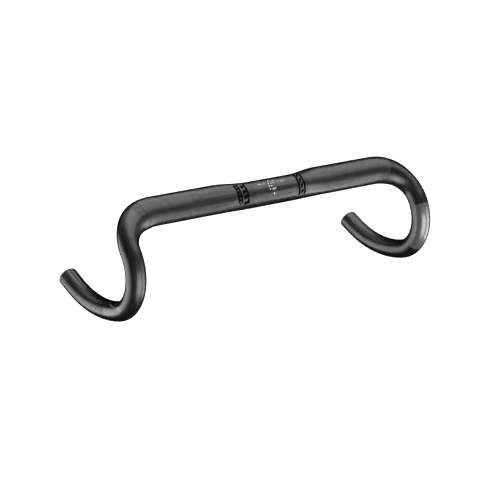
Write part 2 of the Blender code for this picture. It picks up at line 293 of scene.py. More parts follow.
class MaterialBuilder:
    """A Principled material under construction, with the links its finishes need."""

    def __init__(self, name: str) -> None:
        """Make the material and find its shader.

        Args:
            name: The material's name.
        """
        self.material = bpy.data.materials.new(name)
        self.material.use_nodes = True
        self.tree = self.material.node_tree
        self.shader = self.tree.nodes["Principled BSDF"]

    def set(self, **values: float) -> None:
        """Set constant values on the shader's own sockets, with _ for a space in a name."""
        for name, value in values.items():
            self.shader.inputs[name.replace("_", " ")].default_value = value

    def attribute(self, name: str) -> bpy.types.Node:
        """Return a node that reads an attribute of the mesh."""
        node = self.tree.nodes.new("ShaderNodeAttribute")
        node.attribute_name = name
        return node

    def place(self) -> bpy.types.NodeSocket:
        """Return the object coordinates' socket."""
        return self.tree.nodes.new("ShaderNodeTexCoord").outputs["Object"]

    def effect(
        self, group: bpy.types.NodeTree, place: bpy.types.NodeSocket, **values: float
    ) -> bpy.types.Node:
        """Place an effect group.

        Args:
            group: The node group.
            place: The coordinates it reads.
            **values: Its other inputs, by name.

        Returns:
            The group's node.
        """
        node = self.tree.nodes.new("ShaderNodeGroup")
        node.node_tree = group
        self.tree.links.new(place, node.inputs["Place"])
        for name, value in values.items():
            node.inputs[name].default_value = value
        return node

    def blend(
        self,
        share: bpy.types.NodeSocket,
        first: bpy.types.NodeSocket | tuple[float, float, float],
        second: tuple[float, float, float],
    ) -> bpy.types.NodeSocket:
        """Mix two colours.

        Args:
            share: How much of the second colour shows, 0 to 1.
            first: The first colour, or the socket it comes from.
            second: The second colour.

        Returns:
            The mixed colour's socket.
        """
        node = self.tree.nodes.new("ShaderNodeMix")
        node.data_type = "RGBA"
        self.tree.links.new(share, node.inputs["Factor"])
        if isinstance(first, bpy.types.NodeSocket):
            self.tree.links.new(first, node.inputs[6])
        else:
            node.inputs[6].default_value = (*first, 1.0)
        node.inputs[7].default_value = (*second, 1.0)
        return node.outputs[2]

    def link(self, socket: bpy.types.NodeSocket, name: str) -> None:
        """Link a socket to the shader's input of that name."""
        self.tree.links.new(socket, self.shader.inputs[name])

    def bump(self, height: bpy.types.NodeSocket, depth: float, strength: float = 1.0) -> None:
        """Raise the surface.

        Args:
            height: The height's socket, 0 to 1.
            depth: The real height of 1, in metres.
            strength: How much of the effect shows.
        """
        node = self.tree.nodes.new("ShaderNodeBump")
        node.inputs["Distance"].default_value = depth
        node.inputs["Strength"].default_value = strength
        self.tree.links.new(height, node.inputs["Height"])
        self.link(node.outputs["Normal"], "Normal")


@dataclass(frozen=True)
class SatinLaminate:
    """Carbon-fibre laminate under a satin lacquer, with painted highlights and painted shade from the
    light patches.
    """

    name: str
    ply: Ply
    dark: tuple[float, float, float] = (0.0018, 0.0018, 0.0019)
    light: tuple[float, float, float] = (0.0065, 0.0066, 0.0068)
    contrast: float = 2.4
    roughness: tuple[float, float] = (0.33, 0.45)
    lacquer: tuple[float, float] = (0.0, 0.42)
    lacquer_roughness: float = 0.26
    fibre_depth: float = 0.000020
    worn: float = 1.0
    edge_sharpening: float = 0.30
    speckle: float = 0.30
    # Light grey base colour of the strongest painted highlights.
    bare_fibre: tuple[float, float, float] = (0.120, 0.121, 0.123)

    def build(self) -> bpy.types.Material:
        """Return the finish as a material."""
        made = MaterialBuilder(self.name)
        place = made.attribute(self.ply.value).outputs["Vector"]
        fibres = made.effect(fibre_group(), place, Contrast=self.contrast)
        wear = made.effect(wear_group(), place, Amount=self.worn)
        rub = made.attribute(RUB_ATTRIBUTE).outputs["Fac"]
        tone = made.blend(fibres.outputs["Tone"], self.dark, self.light)
        dusty_share = math_node(made.tree, "MULTIPLY", wear.outputs["Dust"], 0.035)
        dusty = made.blend(dusty_share, tone, (0.30, 0.29, 0.27))
        rub_share = math_node(made.tree, "MULTIPLY", rub, 0.5)
        rubbed = made.blend(rub_share, dusty, (0.045, 0.045, 0.046))
        # Painted highlight and shade of the light patches: at a gain above 0.7 the base colour turns light
        # grey, a painted highlight.
        catch = made.attribute(PAINTED_LIGHT_ATTRIBUTE).outputs["Fac"]
        painted_highlight_share = ranged(made.tree, catch, (0.70, 1.0), (0.0, 1.0))
        made.link(made.blend(painted_highlight_share, rubbed, self.bare_fibre), "Base Color")
        sheen = ranged(made.tree, fibres.outputs["Tone"], (0.2, 0.8), self.roughness)
        scuffed = math_node(made.tree, "MULTIPLY", wear.outputs["Scratches"], 0.10)
        dulled = math_node(made.tree, "MULTIPLY", wear.outputs["Dust"], 0.05)
        rougher = math_node(made.tree, "ADD", sheen, scuffed)
        dulled_too = math_node(made.tree, "ADD", rougher, dulled)
        tilt = made.tree.nodes.new("ShaderNodeLayerWeight").outputs["Facing"]
        sharper = ranged(made.tree, tilt, (0.32, 0.78), (1.0, self.edge_sharpening))
        made.link(math_node(made.tree, "MULTIPLY", dulled_too, sharper, True), "Roughness")
        build_up = ranged(made.tree, fibres.outputs["Tone"], (0.25, 0.75), self.lacquer)
        # Painted highlight thickens the lacquer where the gain is above 0. Painted shade raises Metallic
        # over the near-black base where it is below, which dims the reflection.
        painted_highlight_coat = math_node(made.tree, "MAXIMUM", catch, 0.0)
        thicker = math_node(made.tree, "ADD", build_up, painted_highlight_coat)
        thin_at_edge = ranged(made.tree, tilt, (0.5, 0.9), (1.0, 0.0))
        made.link(math_node(made.tree, "MULTIPLY", thicker, thin_at_edge, True), "Coat Weight")
        speckle = ranged(made.tree, fibres.outputs["Tone"], (0.2, 0.8), (self.speckle, -self.speckle))
        painted_shade_metallic = math_node(made.tree, "MULTIPLY", catch, -1.0)
        made.link(math_node(made.tree, "ADD", painted_shade_metallic, speckle, True), "Metallic")
        made.set(Coat_Roughness=self.lacquer_roughness, Coat_IOR=1.5)
        grooves = math_node(made.tree, "MULTIPLY", wear.outputs["Scratches"], -0.8)
        made.bump(math_node(made.tree, "ADD", fibres.outputs["Height"], grooves), self.fibre_depth)
        return made.material


@dataclass(frozen=True)
class PrintInk:
    """Screen-printed ink: matte, slightly uneven, thin enough to show the fibres' relief."""

    name: str
    colour: tuple[float, float, float]
    patchy: tuple[float, float, float]
    roughness: float = 0.6
    specular: float = 0.15

    def build(self) -> bpy.types.Material:
        """Return the finish as a material."""
        made = MaterialBuilder(self.name)
        place = made.attribute(PLY_ATTRIBUTE).outputs["Vector"]
        grain = made.effect(grain_group(), place, Size=1.6)
        wear = made.effect(wear_group(), place, Amount=1.0)
        uneven = math_node(made.tree, "MULTIPLY", grain.outputs["Height"], 0.5)
        inked = made.blend(uneven, self.colour, self.patchy)
        scratched = math_node(made.tree, "MULTIPLY", wear.outputs["Scratches"], 0.4)
        made.link(made.blend(scratched, inked, (0.03, 0.03, 0.031)), "Base Color")
        spread = 0.08
        rough_span = (self.roughness - spread, self.roughness + spread)
        rough = ranged(made.tree, grain.outputs["Height"], (0.3, 0.7), rough_span)
        made.link(rough, "Roughness")
        made.set(Specular_IOR_Level=self.specular)
        made.bump(grain.outputs["Height"], 0.000004)
        return made.material


@dataclass(frozen=True)
class Moulding:
    """An injection-moulded plastic with a fine grain."""

    name: str
    colour: tuple[float, float, float]
    flow_colour: tuple[float, float, float]
    rubbed_colour: tuple[float, float, float]
    roughness: tuple[float, float]
    grain_size: float = 1.0
    grain_depth: float = 0.00002
    subsurface: float = 0.0

    def build(self) -> bpy.types.Material:
        """Return the finish as a material."""
        made = MaterialBuilder(self.name)
        place = made.place()
        grain = made.effect(grain_group(), place, Size=self.grain_size)
        wear = made.effect(wear_group(), place, Amount=1.0)
        rub = made.attribute(RUB_ATTRIBUTE).outputs["Fac"]
        toned = made.blend(grain.outputs["Tone"], self.colour, self.flow_colour)
        patches = math_node(made.tree, "MULTIPLY", rub, grain.outputs["Height"])
        rubbed = made.blend(patches, toned, self.rubbed_colour)
        dusty = math_node(made.tree, "MULTIPLY", wear.outputs["Dust"], 0.08)
        made.link(made.blend(dusty, rubbed, (0.32, 0.31, 0.29)), "Base Color")
        made.link(ranged(made.tree, grain.outputs["Height"], (0.3, 0.7), self.roughness), "Roughness")
        made.set(Subsurface_Weight=self.subsurface, Subsurface_Scale=0.001)
        made.bump(grain.outputs["Height"], self.grain_depth)
        return made.material


@dataclass(frozen=True)
class Metal:
    """A worked metal: turned rings round the piece's own axis, plating or bare, with rubbed edges."""

    name: str
    colour: tuple[float, float, float]
    stain: tuple[float, float, float]
    bright: tuple[float, float, float]
    roughness: tuple[float, float]
    line_depth: float = 0.000006
    stained: float = 0.5

    def build(self) -> bpy.types.Material:
        """Return the finish as a material."""
        made = MaterialBuilder(self.name)
        rings = made.attribute(PLY_ATTRIBUTE).outputs["Vector"]
        turned = made.effect(fibre_group(), rings, Contrast=2.0)
        wear = made.effect(wear_group(), made.place(), Amount=1.0)
        rub = made.attribute(RUB_ATTRIBUTE).outputs["Fac"]
        clouds = math_node(made.tree, "MULTIPLY", turned.outputs["Tone"], self.stained)
        plated = made.blend(clouds, self.colour, self.stain)
        made.link(made.blend(rub, plated, self.bright), "Base Color")
        made.set(Metallic=1.0)
        sheen = ranged(made.tree, turned.outputs["Tone"], (0.2, 0.8), self.roughness)
        scuffed = math_node(made.tree, "MULTIPLY", wear.outputs["Scratches"], 0.15)
        made.link(math_node(made.tree, "ADD", sheen, scuffed, True), "Roughness")
        made.bump(turned.outputs["Height"], self.line_depth)
        return made.material


@dataclass(frozen=True)
class StudioPaper:
    """The pale seamless paper of the floor, which glows just enough to stay white."""

    name: str = "floor_paper"
    glow: float = 1.0

    def build(self) -> bpy.types.Material:
        """Return the finish as a material."""
        made = MaterialBuilder(self.name)
        fibre = noise_node(made.tree, made.place(), 9.0, 3.0)
        paper = made.blend(fibre, (0.90, 0.90, 0.90), (0.93, 0.93, 0.93))
        made.link(paper, "Base Color")
        made.set(Roughness=0.9, Emission_Strength=self.glow)
        made.shader.inputs["Emission Color"].default_value = (1.0, 1.0, 1.0, 1.0)
        return made.material


class Finishes:
    """Every finish of the handlebar, built once and found by its name."""

    def __init__(self) -> None:
        """Build each finish."""
        wanted = (
            SatinLaminate("satin_carbon", Ply.LENGTHWISE),
            SatinLaminate("wrap_carbon", Ply.BIAS, contrast=1.6, speckle=0.22),
            SatinLaminate(
                "sleeve_carbon",
                Ply.BIAS,
                contrast=2.2,
                roughness=(0.50, 0.66),
                lacquer=(0.0, 0.0),
                fibre_depth=0.00003,
            ),
            PrintInk("black_print", (0.0010, 0.0010, 0.0011), (0.0022, 0.0022, 0.0023), specular=0.0),
            PrintInk("pale_print", (0.100, 0.101, 0.103), (0.075, 0.076, 0.078), 0.45, 0.5),
            PrintInk("ghost_print", (0.0050, 0.0050, 0.0052), (0.0080, 0.0080, 0.0082), 0.5, 0.30),
            PrintInk("white_print", (0.80, 0.80, 0.81), (0.68, 0.68, 0.69), 0.5, 0.5),
            Moulding(
                "cap_plastic",
                (0.0110, 0.0110, 0.0116),
                (0.0150, 0.0150, 0.0157),
                (0.0450, 0.0450, 0.0460),
                (0.42, 0.56),
            ),
            Moulding(
                "grey_nylon",
                (0.200, 0.204, 0.210),
                (0.235, 0.238, 0.242),
                (0.330, 0.330, 0.335),
                (0.46, 0.60),
                grain_size=1.5,
                subsurface=0.08,
            ),
            Metal(
                "zinc_steel",
                (0.560, 0.575, 0.600),
                (0.440, 0.450, 0.470),
                (0.700, 0.705, 0.715),
                (0.24, 0.38),
            ),
            Metal(
                "bare_aluminium",
                (0.720, 0.728, 0.740),
                (0.620, 0.625, 0.635),
                (0.860, 0.862, 0.866),
                (0.26, 0.40),
                line_depth=0.00001,
                stained=0.35,
            ),
        )
        self._made = {finish.name: finish.build() for finish in wanted}

    def __getitem__(self, name: str) -> bpy.types.Material:
        """Return the material of that name."""
        return self._made[name]


# ------------------------------------------------------------------ shape of the bar


@dataclass(frozen=True)
class Station:
    """One place along the bar: its centre, its direction and its section."""

    centre: Vector
    direction: Vector
    first: Vector
    second: Vector
    half_depth: float
    half_height: float


def smooth_step(value: float, start: float, length: float) -> float:
    """Return 0 before start, 1 after start + length, and a smooth ramp between."""
    ratio = min(max((value - start) / length, 0.0), 1.0)
    return ratio * ratio * (3.0 - 2.0 * ratio)


@dataclass(frozen=True)
class BarSkin:
    """The bar's outer skin: a centreline of straights and arcs, and a section along it.

    Distances run along the centreline from the middle of the bar and are negative on the
    rider's right. Turns go round the section from the front over the top.
    """

    tops_straight: float = 0.1603
    shoulder_radii: tuple[float, float] = (0.067, 0.039)
    shoulder_angles: tuple[float, float] = (math.radians(22), math.radians(68))
    ramp: float = math.radians(8)
    hook_lean: float = math.radians(1)
    hook_radius: float = 0.047
    hook_angle: float = math.radians(113.5)
    drop_radius: float = 0.140
    drop_angle: float = math.radians(40)
    end_straight: float = 0.0146
    clamp_radius: float = 0.0159
    clamp_half_length: float = 0.030
    oval_from: float = 0.075
    oval_half_depth: float = 0.01794
    oval_half_height: float = 0.0134
    oval_nose_down: float = math.radians(5)
    oval_shift: tuple[float, float, float] = (0.0, 0.003, -0.0012)
    tube_radius: float = 0.0119
    round_again_before: float = 0.059
    round_again_over: float = 0.057
    cap_thickness: float = 0.0018

    @functools.cached_property
    def segments(self) -> list[tuple[float, float | None, Vector | None, float]]:
        """Straight runs and arcs of one half: length, radius or None, axis and angle."""
        lever_run = Vector((0, -math.cos(self.ramp), -math.sin(self.ramp)))
        shoulder_axis = Vector((1, 0, 0)).cross(lever_run).normalized()
        down = Vector((math.sin(self.hook_lean), 0, -math.cos(self.hook_lean)))
        hook_axis = lever_run.cross(down).normalized()
        runs = [(self.tops_straight, None, None, 0.0)]
        for radius, angle in zip(self.shoulder_radii, self.shoulder_angles):
            runs.append((radius * angle, radius, shoulder_axis, angle))
        runs.append((self.hook_radius * self.hook_angle, self.hook_radius, hook_axis, self.hook_angle))
        runs.append((self.drop_radius * self.drop_angle, self.drop_radius, hook_axis, self.drop_angle))
        runs.append((self.end_straight, None, None, 0.0))
        return runs

    @functools.cached_property
    def length(self) -> float:
        """Length of one half's centreline."""
        return sum(run[0] for run in self.segments)

    @functools.cached_property
    def shoulder_end(self) -> float:
        """Distance at which the shoulder's bends end and the hook begins."""
        return sum(run[0] for run in self.segments[:3])

    @property
    def tube_end(self) -> float:
        """Distance of the tube's end face, under the cap's flange."""
        return self.length - self.cap_thickness

    def centreline(self, distance: float) -> tuple[Vector, Vector]:
        """Follow the left half's centreline.

        Args:
            distance: How far from the middle of the bar.

        Returns:
            The point and the direction there.
        """
        point = Vector((0, 0, 0))
        direction = Vector((1, 0, 0))
        left = distance
        for length, radius, axis, angle in self.segments:
            step = min(left, length)
            if radius is None:
                point = point + direction * step
            else:
                centre = point + axis.cross(direction) * radius
                turn = Matrix.Rotation(angle * step / length, 3, axis)
                point = centre + turn @ (point - centre)
                direction = turn @ direction
            left -= step
            if left <= 0.0:
                break
        return point, direction.normalized()

    @functools.cache
    def station(self, along: float) -> Station:
        """Return the left half's station at a distance from the middle."""
        point, direction = self.centreline(along)
        if along < self.shoulder_end:
            upward = Vector((-math.sin(self.hook_lean), 0, math.cos(self.hook_lean)))
            second = (upward - direction * upward.dot(direction)).normalized()
        else:
            second = direction.cross(self.segments[3][2]).normalized()
        first = direction.cross(second).normalized()
        oval = smooth_step(along, self.clamp_half_length, self.oval_from - self.clamp_half_length)
        start = self.shoulder_end - self.round_again_before
        round_again = smooth_step(along, start, self.round_again_over)
        depth = self.clamp_radius + (self.oval_half_depth - self.clamp_radius) * oval
        height = self.clamp_radius + (self.oval_half_height - self.clamp_radius) * oval
        depth += (self.tube_radius - depth) * round_again
        height += (self.tube_radius - height) * round_again
        share = oval * (1.0 - round_again)
        tilt = Matrix.Rotation(self.oval_nose_down * share, 3, direction)
        centre = point + Vector(self.oval_shift) * share
        return Station(centre, direction, tilt @ first, tilt @ second, depth, height)

    def points(self, distance: float, turns: np.ndarray, lifts: np.ndarray | float) -> np.ndarray:
        """Place points on the skin.

        Args:
            distance: Where along the bar, negative on the rider's right.
            turns: Angles round the section.
            lifts: Heights above the skin, one or one for each turn.

        Returns:
            An array of points, one row for each turn.
        """
        here = self.station(abs(distance))
        across = ((here.half_depth + lifts) * np.cos(turns))[:, None]
        up = ((here.half_height + lifts) * np.sin(turns))[:, None]
        placed = np.array(here.centre) + across * np.array(here.first) + up * np.array(here.second)
        if distance < 0:
            placed[:, 0] *= -1.0
        return placed


def even_stops(start: float, end: float, step: float) -> list[float]:
    """Return evenly spaced stops from start to end, at most step apart, both included."""
    count = max(1, math.ceil(abs(end - start) / step))
    return [start + (end - start) * index / count for index in range(count + 1)]


def body_from_grid(
    name: str,
    grid: np.ndarray,
    around: bool,
    along: bool,
    attributes: dict[str, np.ndarray],
) -> bpy.types.Object:
    """Make an object from a grid of points.

    Args:
        name: The object's name.
        grid: Points as rows by columns by 3.
        around: Whether the last column joins the first.
        along: Whether the last row joins the first.
        attributes: Values for each point of the grid, vectors or numbers, by name.

    Returns:
        The object, linked to the scene.
    """
    rows, columns = grid.shape[:2]
    row = np.arange(rows if along else rows - 1)[:, None]
    column = np.arange(columns if around else columns - 1)[None, :]
    next_row = (row + 1) % rows
    next_column = (column + 1) % columns
    corners = (
        row * columns + column,
        next_row * columns + column,
        next_row * columns + next_column,
        row * columns + next_column,
    )
    faces = np.stack([np.broadcast_to(c, (row.size, column.size)).ravel() for c in corners], axis=1)
    mesh = bpy.data.meshes.new(name)
    mesh.from_pydata(grid.reshape(-1, 3).tolist(), [], faces.tolist())
    for label, values in attributes.items():
        kind, key = ("FLOAT_VECTOR", "vector") if values.ndim == 3 else ("FLOAT", "value")
        layer = mesh.attributes.new(label, kind, "POINT")
        layer.data.foreach_set(key, values.astype(np.float32).ravel())
    body = bpy.data.objects.new(name, mesh)
    bpy.context.scene.collection.objects.link(body)
    return body


def tidy_surface(body: bpy.types.Object, crease: float = math.radians(32)) -> None:
    """Weld, face outward and shade smooth up to a crease angle.

    Args:
        body: The object.
        crease: Edges sharper than this stay crisp.
    """
    bm = bmesh.new()
    bm.from_mesh(body.data)
    bmesh.ops.remove_doubles(bm, verts=bm.verts, dist=0.000001)
    bmesh.ops.dissolve_degenerate(bm, edges=bm.edges, dist=0.0000001)
    bmesh.ops.recalc_face_normals(bm, faces=bm.faces)
    bm.to_mesh(body.data)
    bm.free()
    body.data.shade_smooth()
    body.data.set_sharp_from_angle(angle=crease)


def finish_piece(
    body: bpy.types.Object,
    rides: str,
    node: str,
    materials: Iterable[bpy.types.Material],
) -> bpy.types.Object:
    """Dress a piece and hand it to the frame.

    Args:
        body: The piece.
        rides: The CAD body it moves with.
        node: The CAD node it stands for.
        materials: Its materials, in order.

    Returns:
        The piece.
    """
    for material in materials:
        body.data.materials.append(material)
    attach(body, rides)
    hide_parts(node)
    LOG.info("%s: %d faces, rides on %s", body.name, len(body.data.polygons), rides)
    return body


@dataclass(frozen=True)
class RoundEdge:
    """A rounded outer edge of a shell's end, as extra stops that drop away from the skin."""

    length: float
    drop: float
    steps: int = 4

    def stops(self, end: float, inward: float, lift: float) -> list[tuple[float, float]]:
        """Stops from the full skin to the end face.

        Args:
            end: Where the shell ends.
            inward: The sign of the way back into the shell.
            lift: The skin's own lift.

        Returns:
            Distance and lift of each stop.
        """
        result = []
        for index in range(self.steps + 1):
            angle = math.pi / 2 * index / self.steps
            place = end + inward * self.length * (1.0 - math.sin(angle))
            result.append((place, lift - self.drop * (1.0 - math.cos(angle))))
        return result


@dataclass(frozen=True)
class PartingLine:
    """The mould's parting line: a shallow scraped groove beside a low ridge on the hook."""

    start: float = 0.366
    grow: float = 0.014
    turn: float = math.radians(261)
    half_width: float = math.radians(2.6)
    depth: float = 0.00022
    ridge: float = 0.00010

    def turns(self) -> list[float]:
        """Angles that the skin needs round the groove."""
        shares = (-3.0, -2.0, -1.35, -1.0, -0.5, 0.0, 0.5, 1.0, 1.6)
        return [self.turn + self.half_width * share for share in shares]

    def lift(self, along: float, turns: np.ndarray) -> np.ndarray:
        """Return the skin's extra height at each angle, at a distance from the middle."""
        grown = smooth_step(along, self.start, self.grow)
        offset = (turns - self.turn) / self.half_width
        groove = -self.depth * np.clip(1.0 - np.abs(offset), 0.0, 1.0)
        ridge = self.ridge * np.clip(1.0 - np.abs(offset + 1.9) / 0.9, 0.0, 1.0)
        return grown * (groove + ridge)


@dataclass(frozen=True)
class PlyPatch:
    """A patch of painted highlight where its gain is above 0 and painted shade where it is below, laid on
    the laminate's lacquer and base colour.
    """

    along: tuple[float, float]
    turn: tuple[float, float]
    gain: float
    slant: float = 0.0
    blur: float = 6.0

    def catch(self, distance: float, turns: np.ndarray) -> np.ndarray:
        """Work out the patch's painted highlight and shade.

        Args:
            distance: Where along the bar, negative on the rider's right.
            turns: Angles round the section.

        Returns:
            The gain at each angle, 0 outside the patch.
        """
        share = (distance - self.along[0]) / (self.along[1] - self.along[0])
        if not 0.0 <= share <= 1.0:
            return np.zeros_like(turns)
        degrees = np.degrees(turns) - self.slant * share
        rise = np.clip((degrees - self.turn[0]) / self.blur + 0.5, 0.0, 1.0)
        fall = np.clip((self.turn[1] - degrees) / self.blur + 0.5, 0.0, 1.0)
        return self.gain * rise * fall


@dataclass
class BarShells:
    """The bar's laminate: centre section, two drops, and each shoulder's wrap and inner sleeve."""

    skin: BarSkin
    finishes: Finishes
    wall: float = 0.002
    gap: float = 0.0003
    butt_at: float = 0.152
    wrap_from: float = 0.115
    wrap_to: float = 0.180
    wrap_thickness: float = 0.0005
    sleeve_from: float = 0.125
    sleeve_to: float = 0.176
    sleeve_thickness: float = 0.0016
    straight_step: float = 0.0025
    bend_step: float = 0.0020
    points_round: int = 96
    seam: float = 0.00014
    faint_seam: float = 0.00002
    lap_edge: RoundEdge = RoundEdge(0.0009, 0.00018)
    faint_lap_edge: RoundEdge = RoundEdge(0.0020, 0.00003)
    end_edge: RoundEdge = RoundEdge(0.0004, 0.0004)
    parting: PartingLine = field(default_factory=PartingLine)
    # Half-width of the extra stops that keep each painted light patch's border crisp.
    ply_edge: float = 0.0001
    # Patches of painted highlight and painted shade on the laminate. The last two paint a dark line in the
    # parting line's groove and a light line beside it.
    patches: tuple[PlyPatch, ...] = (
        PlyPatch((0.1810, 0.2440), (60.0, 175.0), -0.30),
        PlyPatch((0.2440, 0.2970), (15.0, 165.0), 0.85),
        PlyPatch((-0.0300, 0.0300), (57.0, 90.0), 0.16, blur=16.0),
        PlyPatch((-0.0300, 0.0300), (5.0, 31.0), -0.30, blur=10.0),
        PlyPatch((0.2970, 0.3180), (30.0, 110.0), -0.30, blur=20.0),
        PlyPatch((-0.2990, -0.3400), (135.0, 235.0), 0.28, blur=30.0),
        PlyPatch((-0.3040, -0.3320), (181.0, 193.0), 1.0, slant=46.0),
        PlyPatch((-0.1890, -0.2190), (85.0, 128.0), 0.25, blur=14.0),
        PlyPatch((-0.1780, -0.2060), (146.0, 215.0), -0.60, blur=16.0),
        PlyPatch((-0.3400, -0.4370), (140.0, 208.0), -0.30, blur=12.0),
        PlyPatch((-0.3700, -0.4370), (257.0, 267.0), -0.92),
        PlyPatch((-0.3700, -0.4370), (248.0, 255.0), 0.60),
    )

    @functools.cached_property
    def turns(self) -> np.ndarray:
        """Angles round the section: even ones, and those of the parting line."""
        even = [FULL_TURN * index / self.points_round for index in range(self.points_round)]
        extra = self.parting.turns()
        clear = FULL_TURN / self.points_round / 2
        kept = [turn for turn in even if all(abs(turn - other) > clear for other in extra)]
        return np.array(sorted(kept + extra))

    def run(self, start: float, end: float, lift: float) -> list[tuple[float, float]]:
        """Stops along the skin, closer together in the bends.

        Args:
            start: First distance.
            end: Last distance.
            lift: Height above the skin.

        Returns:
            Distance and lift of each stop.
        """
        bend = self.skin.tops_straight - self.bend_step
        low, high = sorted((start, end))
        # Extra stops at the borders of the painted light patches.
        borders = [border for patch in self.patches for border in patch.along]
        edges = [border + side for border in borders for side in (-self.ply_edge, self.ply_edge)]
        knots = [low] + sorted({k for k in (-bend, bend, *edges) if low < k < high}) + [high]
        stops: list[float] = []
        for first, last in zip(knots, knots[1:]):
            straight = abs(first + last) / 2 < bend
            stops += even_stops(first, last, self.straight_step if straight else self.bend_step)[:-1]
        stops.append(high)
        if start > end:
            stops.reverse()
        return [(stop, lift) for stop in stops]

    def shell(self, name: str, stops: Sequence[tuple[float, float]]) -> bpy.types.Object:
        """A closed wall from stops along its outside and back along its bore.

        Args:
            name: The piece's name.
            stops: Distance and lift of each ring.

        Returns:
            The piece, not yet dressed.
        """
        turns = self.turns
        rows, plies, biases, rubs, painted_lights = [], [], [], [], []
        nominal = self.skin.tube_radius
        before = [stops[-1], *stops[:-1]]
        after = [*stops[1:], stops[0]]
        for (distance, lift), last, following in zip(stops, before, after):
            extra = self.parting.lift(abs(distance), turns) if lift > -self.wall / 2 else 0.0
            rows.append(self.skin.points(distance, turns, lift + extra))
            helix = turns - abs(distance) / nominal
            along = np.full_like(turns, distance)
            plies.append(np.stack([along, nominal * np.cos(turns), nominal * np.sin(turns)], axis=1))
            biases.append(np.stack([along, nominal * np.cos(helix), nominal * np.sin(helix)], axis=1))
            bend = abs(lift - last[1]) + abs(following[1] - lift)
            rubs.append(np.full_like(turns, min(1.0, bend / self.end_edge.drop) if lift <= 0 else 0.0))
            # Painted highlight and shade of the light patches, one value for each point.
            painted_lights.append(sum(patch.catch(distance, turns) for patch in self.patches))
        attributes = {
            PLY_ATTRIBUTE: np.array(plies),
            BIAS_ATTRIBUTE: np.array(biases),
            RUB_ATTRIBUTE: np.array(rubs),
            PAINTED_LIGHT_ATTRIBUTE: np.array(painted_lights),
        }
        body = body_from_grid(name, np.array(rows), True, True, attributes)
        tidy_surface(body)
        return body

    def build_centre(self) -> bpy.types.Object:
        """The centre section, rebated at both ends for the wraps."""
        rebate = -(self.wrap_thickness + self.gap)
        edge = self.faint_lap_edge
        inner = self.wrap_from - edge.length
        outside = self.run(-self.butt_at, -self.wrap_from, rebate)
        outside += list(reversed(edge.stops(-self.wrap_from, 1.0, 0.0)))
        outside += self.run(-inner, inner, 0.0)[1:-1]
        outside += edge.stops(self.wrap_from, -1.0, 0.0)
        outside += self.run(self.wrap_from, self.butt_at, rebate)
        bore = self.run(self.butt_at, -self.butt_at, -self.wall)
        body = self.shell("centre_section_laminate", outside + bore)
        return finish_piece(body, "bar", "centre_section", [self.finishes["satin_carbon"]])

    def build_drop(self, side: Side) -> bpy.types.Object:
        """One drop, from the butt joint to the open end of the tube."""
        sign = side.value
        rebate = -(self.wrap_thickness + self.gap)
        start = sign * (self.butt_at + self.gap)
        lip = self.lap_edge
        stops = self.run(start, sign * self.wrap_to, rebate)
        edge = lip.stops(self.wrap_to, 1.0, 0.0)
        stops += [(sign * place, lift) for place, lift in reversed(edge)]
        rim = self.end_edge
        stops += self.run(
            sign * (self.wrap_to + lip.length), sign * (self.skin.tube_end - rim.length), 0.0
        )[1:-1]
        stops += [(sign * place, lift) for place, lift in rim.stops(self.skin.tube_end, -1.0, 0.0)]
        bore_edge = rim.stops(self.skin.tube_end, -1.0, 0.0)
        mouth = [(sign * place, -self.wall - lift) for place, lift in reversed(bore_edge)]
        stops += mouth
        stops += self.run(sign * (self.skin.tube_end - rim.length), start, -self.wall)[1:]
        body = self.shell(side.word + "_drop_laminate", stops)
        return finish_piece(
            body, "bar", side.word + "_drop", [self.finishes["satin_carbon"]]
        )

    def build_wrap(self, side: Side) -> bpy.types.Object:
        """The over-wrap of one shoulder, with a lap edge where it ends on the drop."""
        sign = side.value
        start = self.wrap_from + self.faint_seam
        end = self.wrap_to - self.seam
        inner_edge = self.faint_lap_edge
        outer_edge = self.lap_edge
        stops = list(reversed(inner_edge.stops(start, 1.0, 0.0)))
        stops += self.run(start + inner_edge.length, end - outer_edge.length, 0.0)[1:-1]
        stops += outer_edge.stops(end, -1.0, 0.0)
        stops += self.run(end, start, -self.wrap_thickness)
        body = self.shell(side.word + "_joint_overwrap", [(sign * place, lift) for place, lift in stops])
        return finish_piece(
            body, "bar", side.word + "_joint_wrap", [self.finishes["wrap_carbon"]]
        )

    def build_sleeve(self, side: Side) -> bpy.types.Object:
        """The bonded sleeve inside one shoulder's butt joint."""
        outer = -(self.wall + self.gap)
        ends = (side.value * self.sleeve_from, side.value * self.sleeve_to)
        stops = self.run(*ends, outer) + self.run(*reversed(ends), outer - self.sleeve_thickness)
        body = self.shell(side.word + "_joint_liner", stops)
        return finish_piece(
            body, "bar", side.word + "_joint_sleeve", [self.finishes["sleeve_carbon"]]
        )

    def build(self) -> None:
        """Build every shell of the bar."""
        self.build_centre()
        for side in Side:
            self.build_drop(side)
            self.build_wrap(side)
            self.build_sleeve(side)


# ------------------------------------------------------------------ printed films


@dataclass(frozen=True)
class Mark:
    """One printed mark: a patch of the skin between two distances and two turns, in degrees."""

    along: tuple[float, float]
    turn: tuple[float, float]
    ink: Ink = Ink.MAIN
    slant: float = 0.0


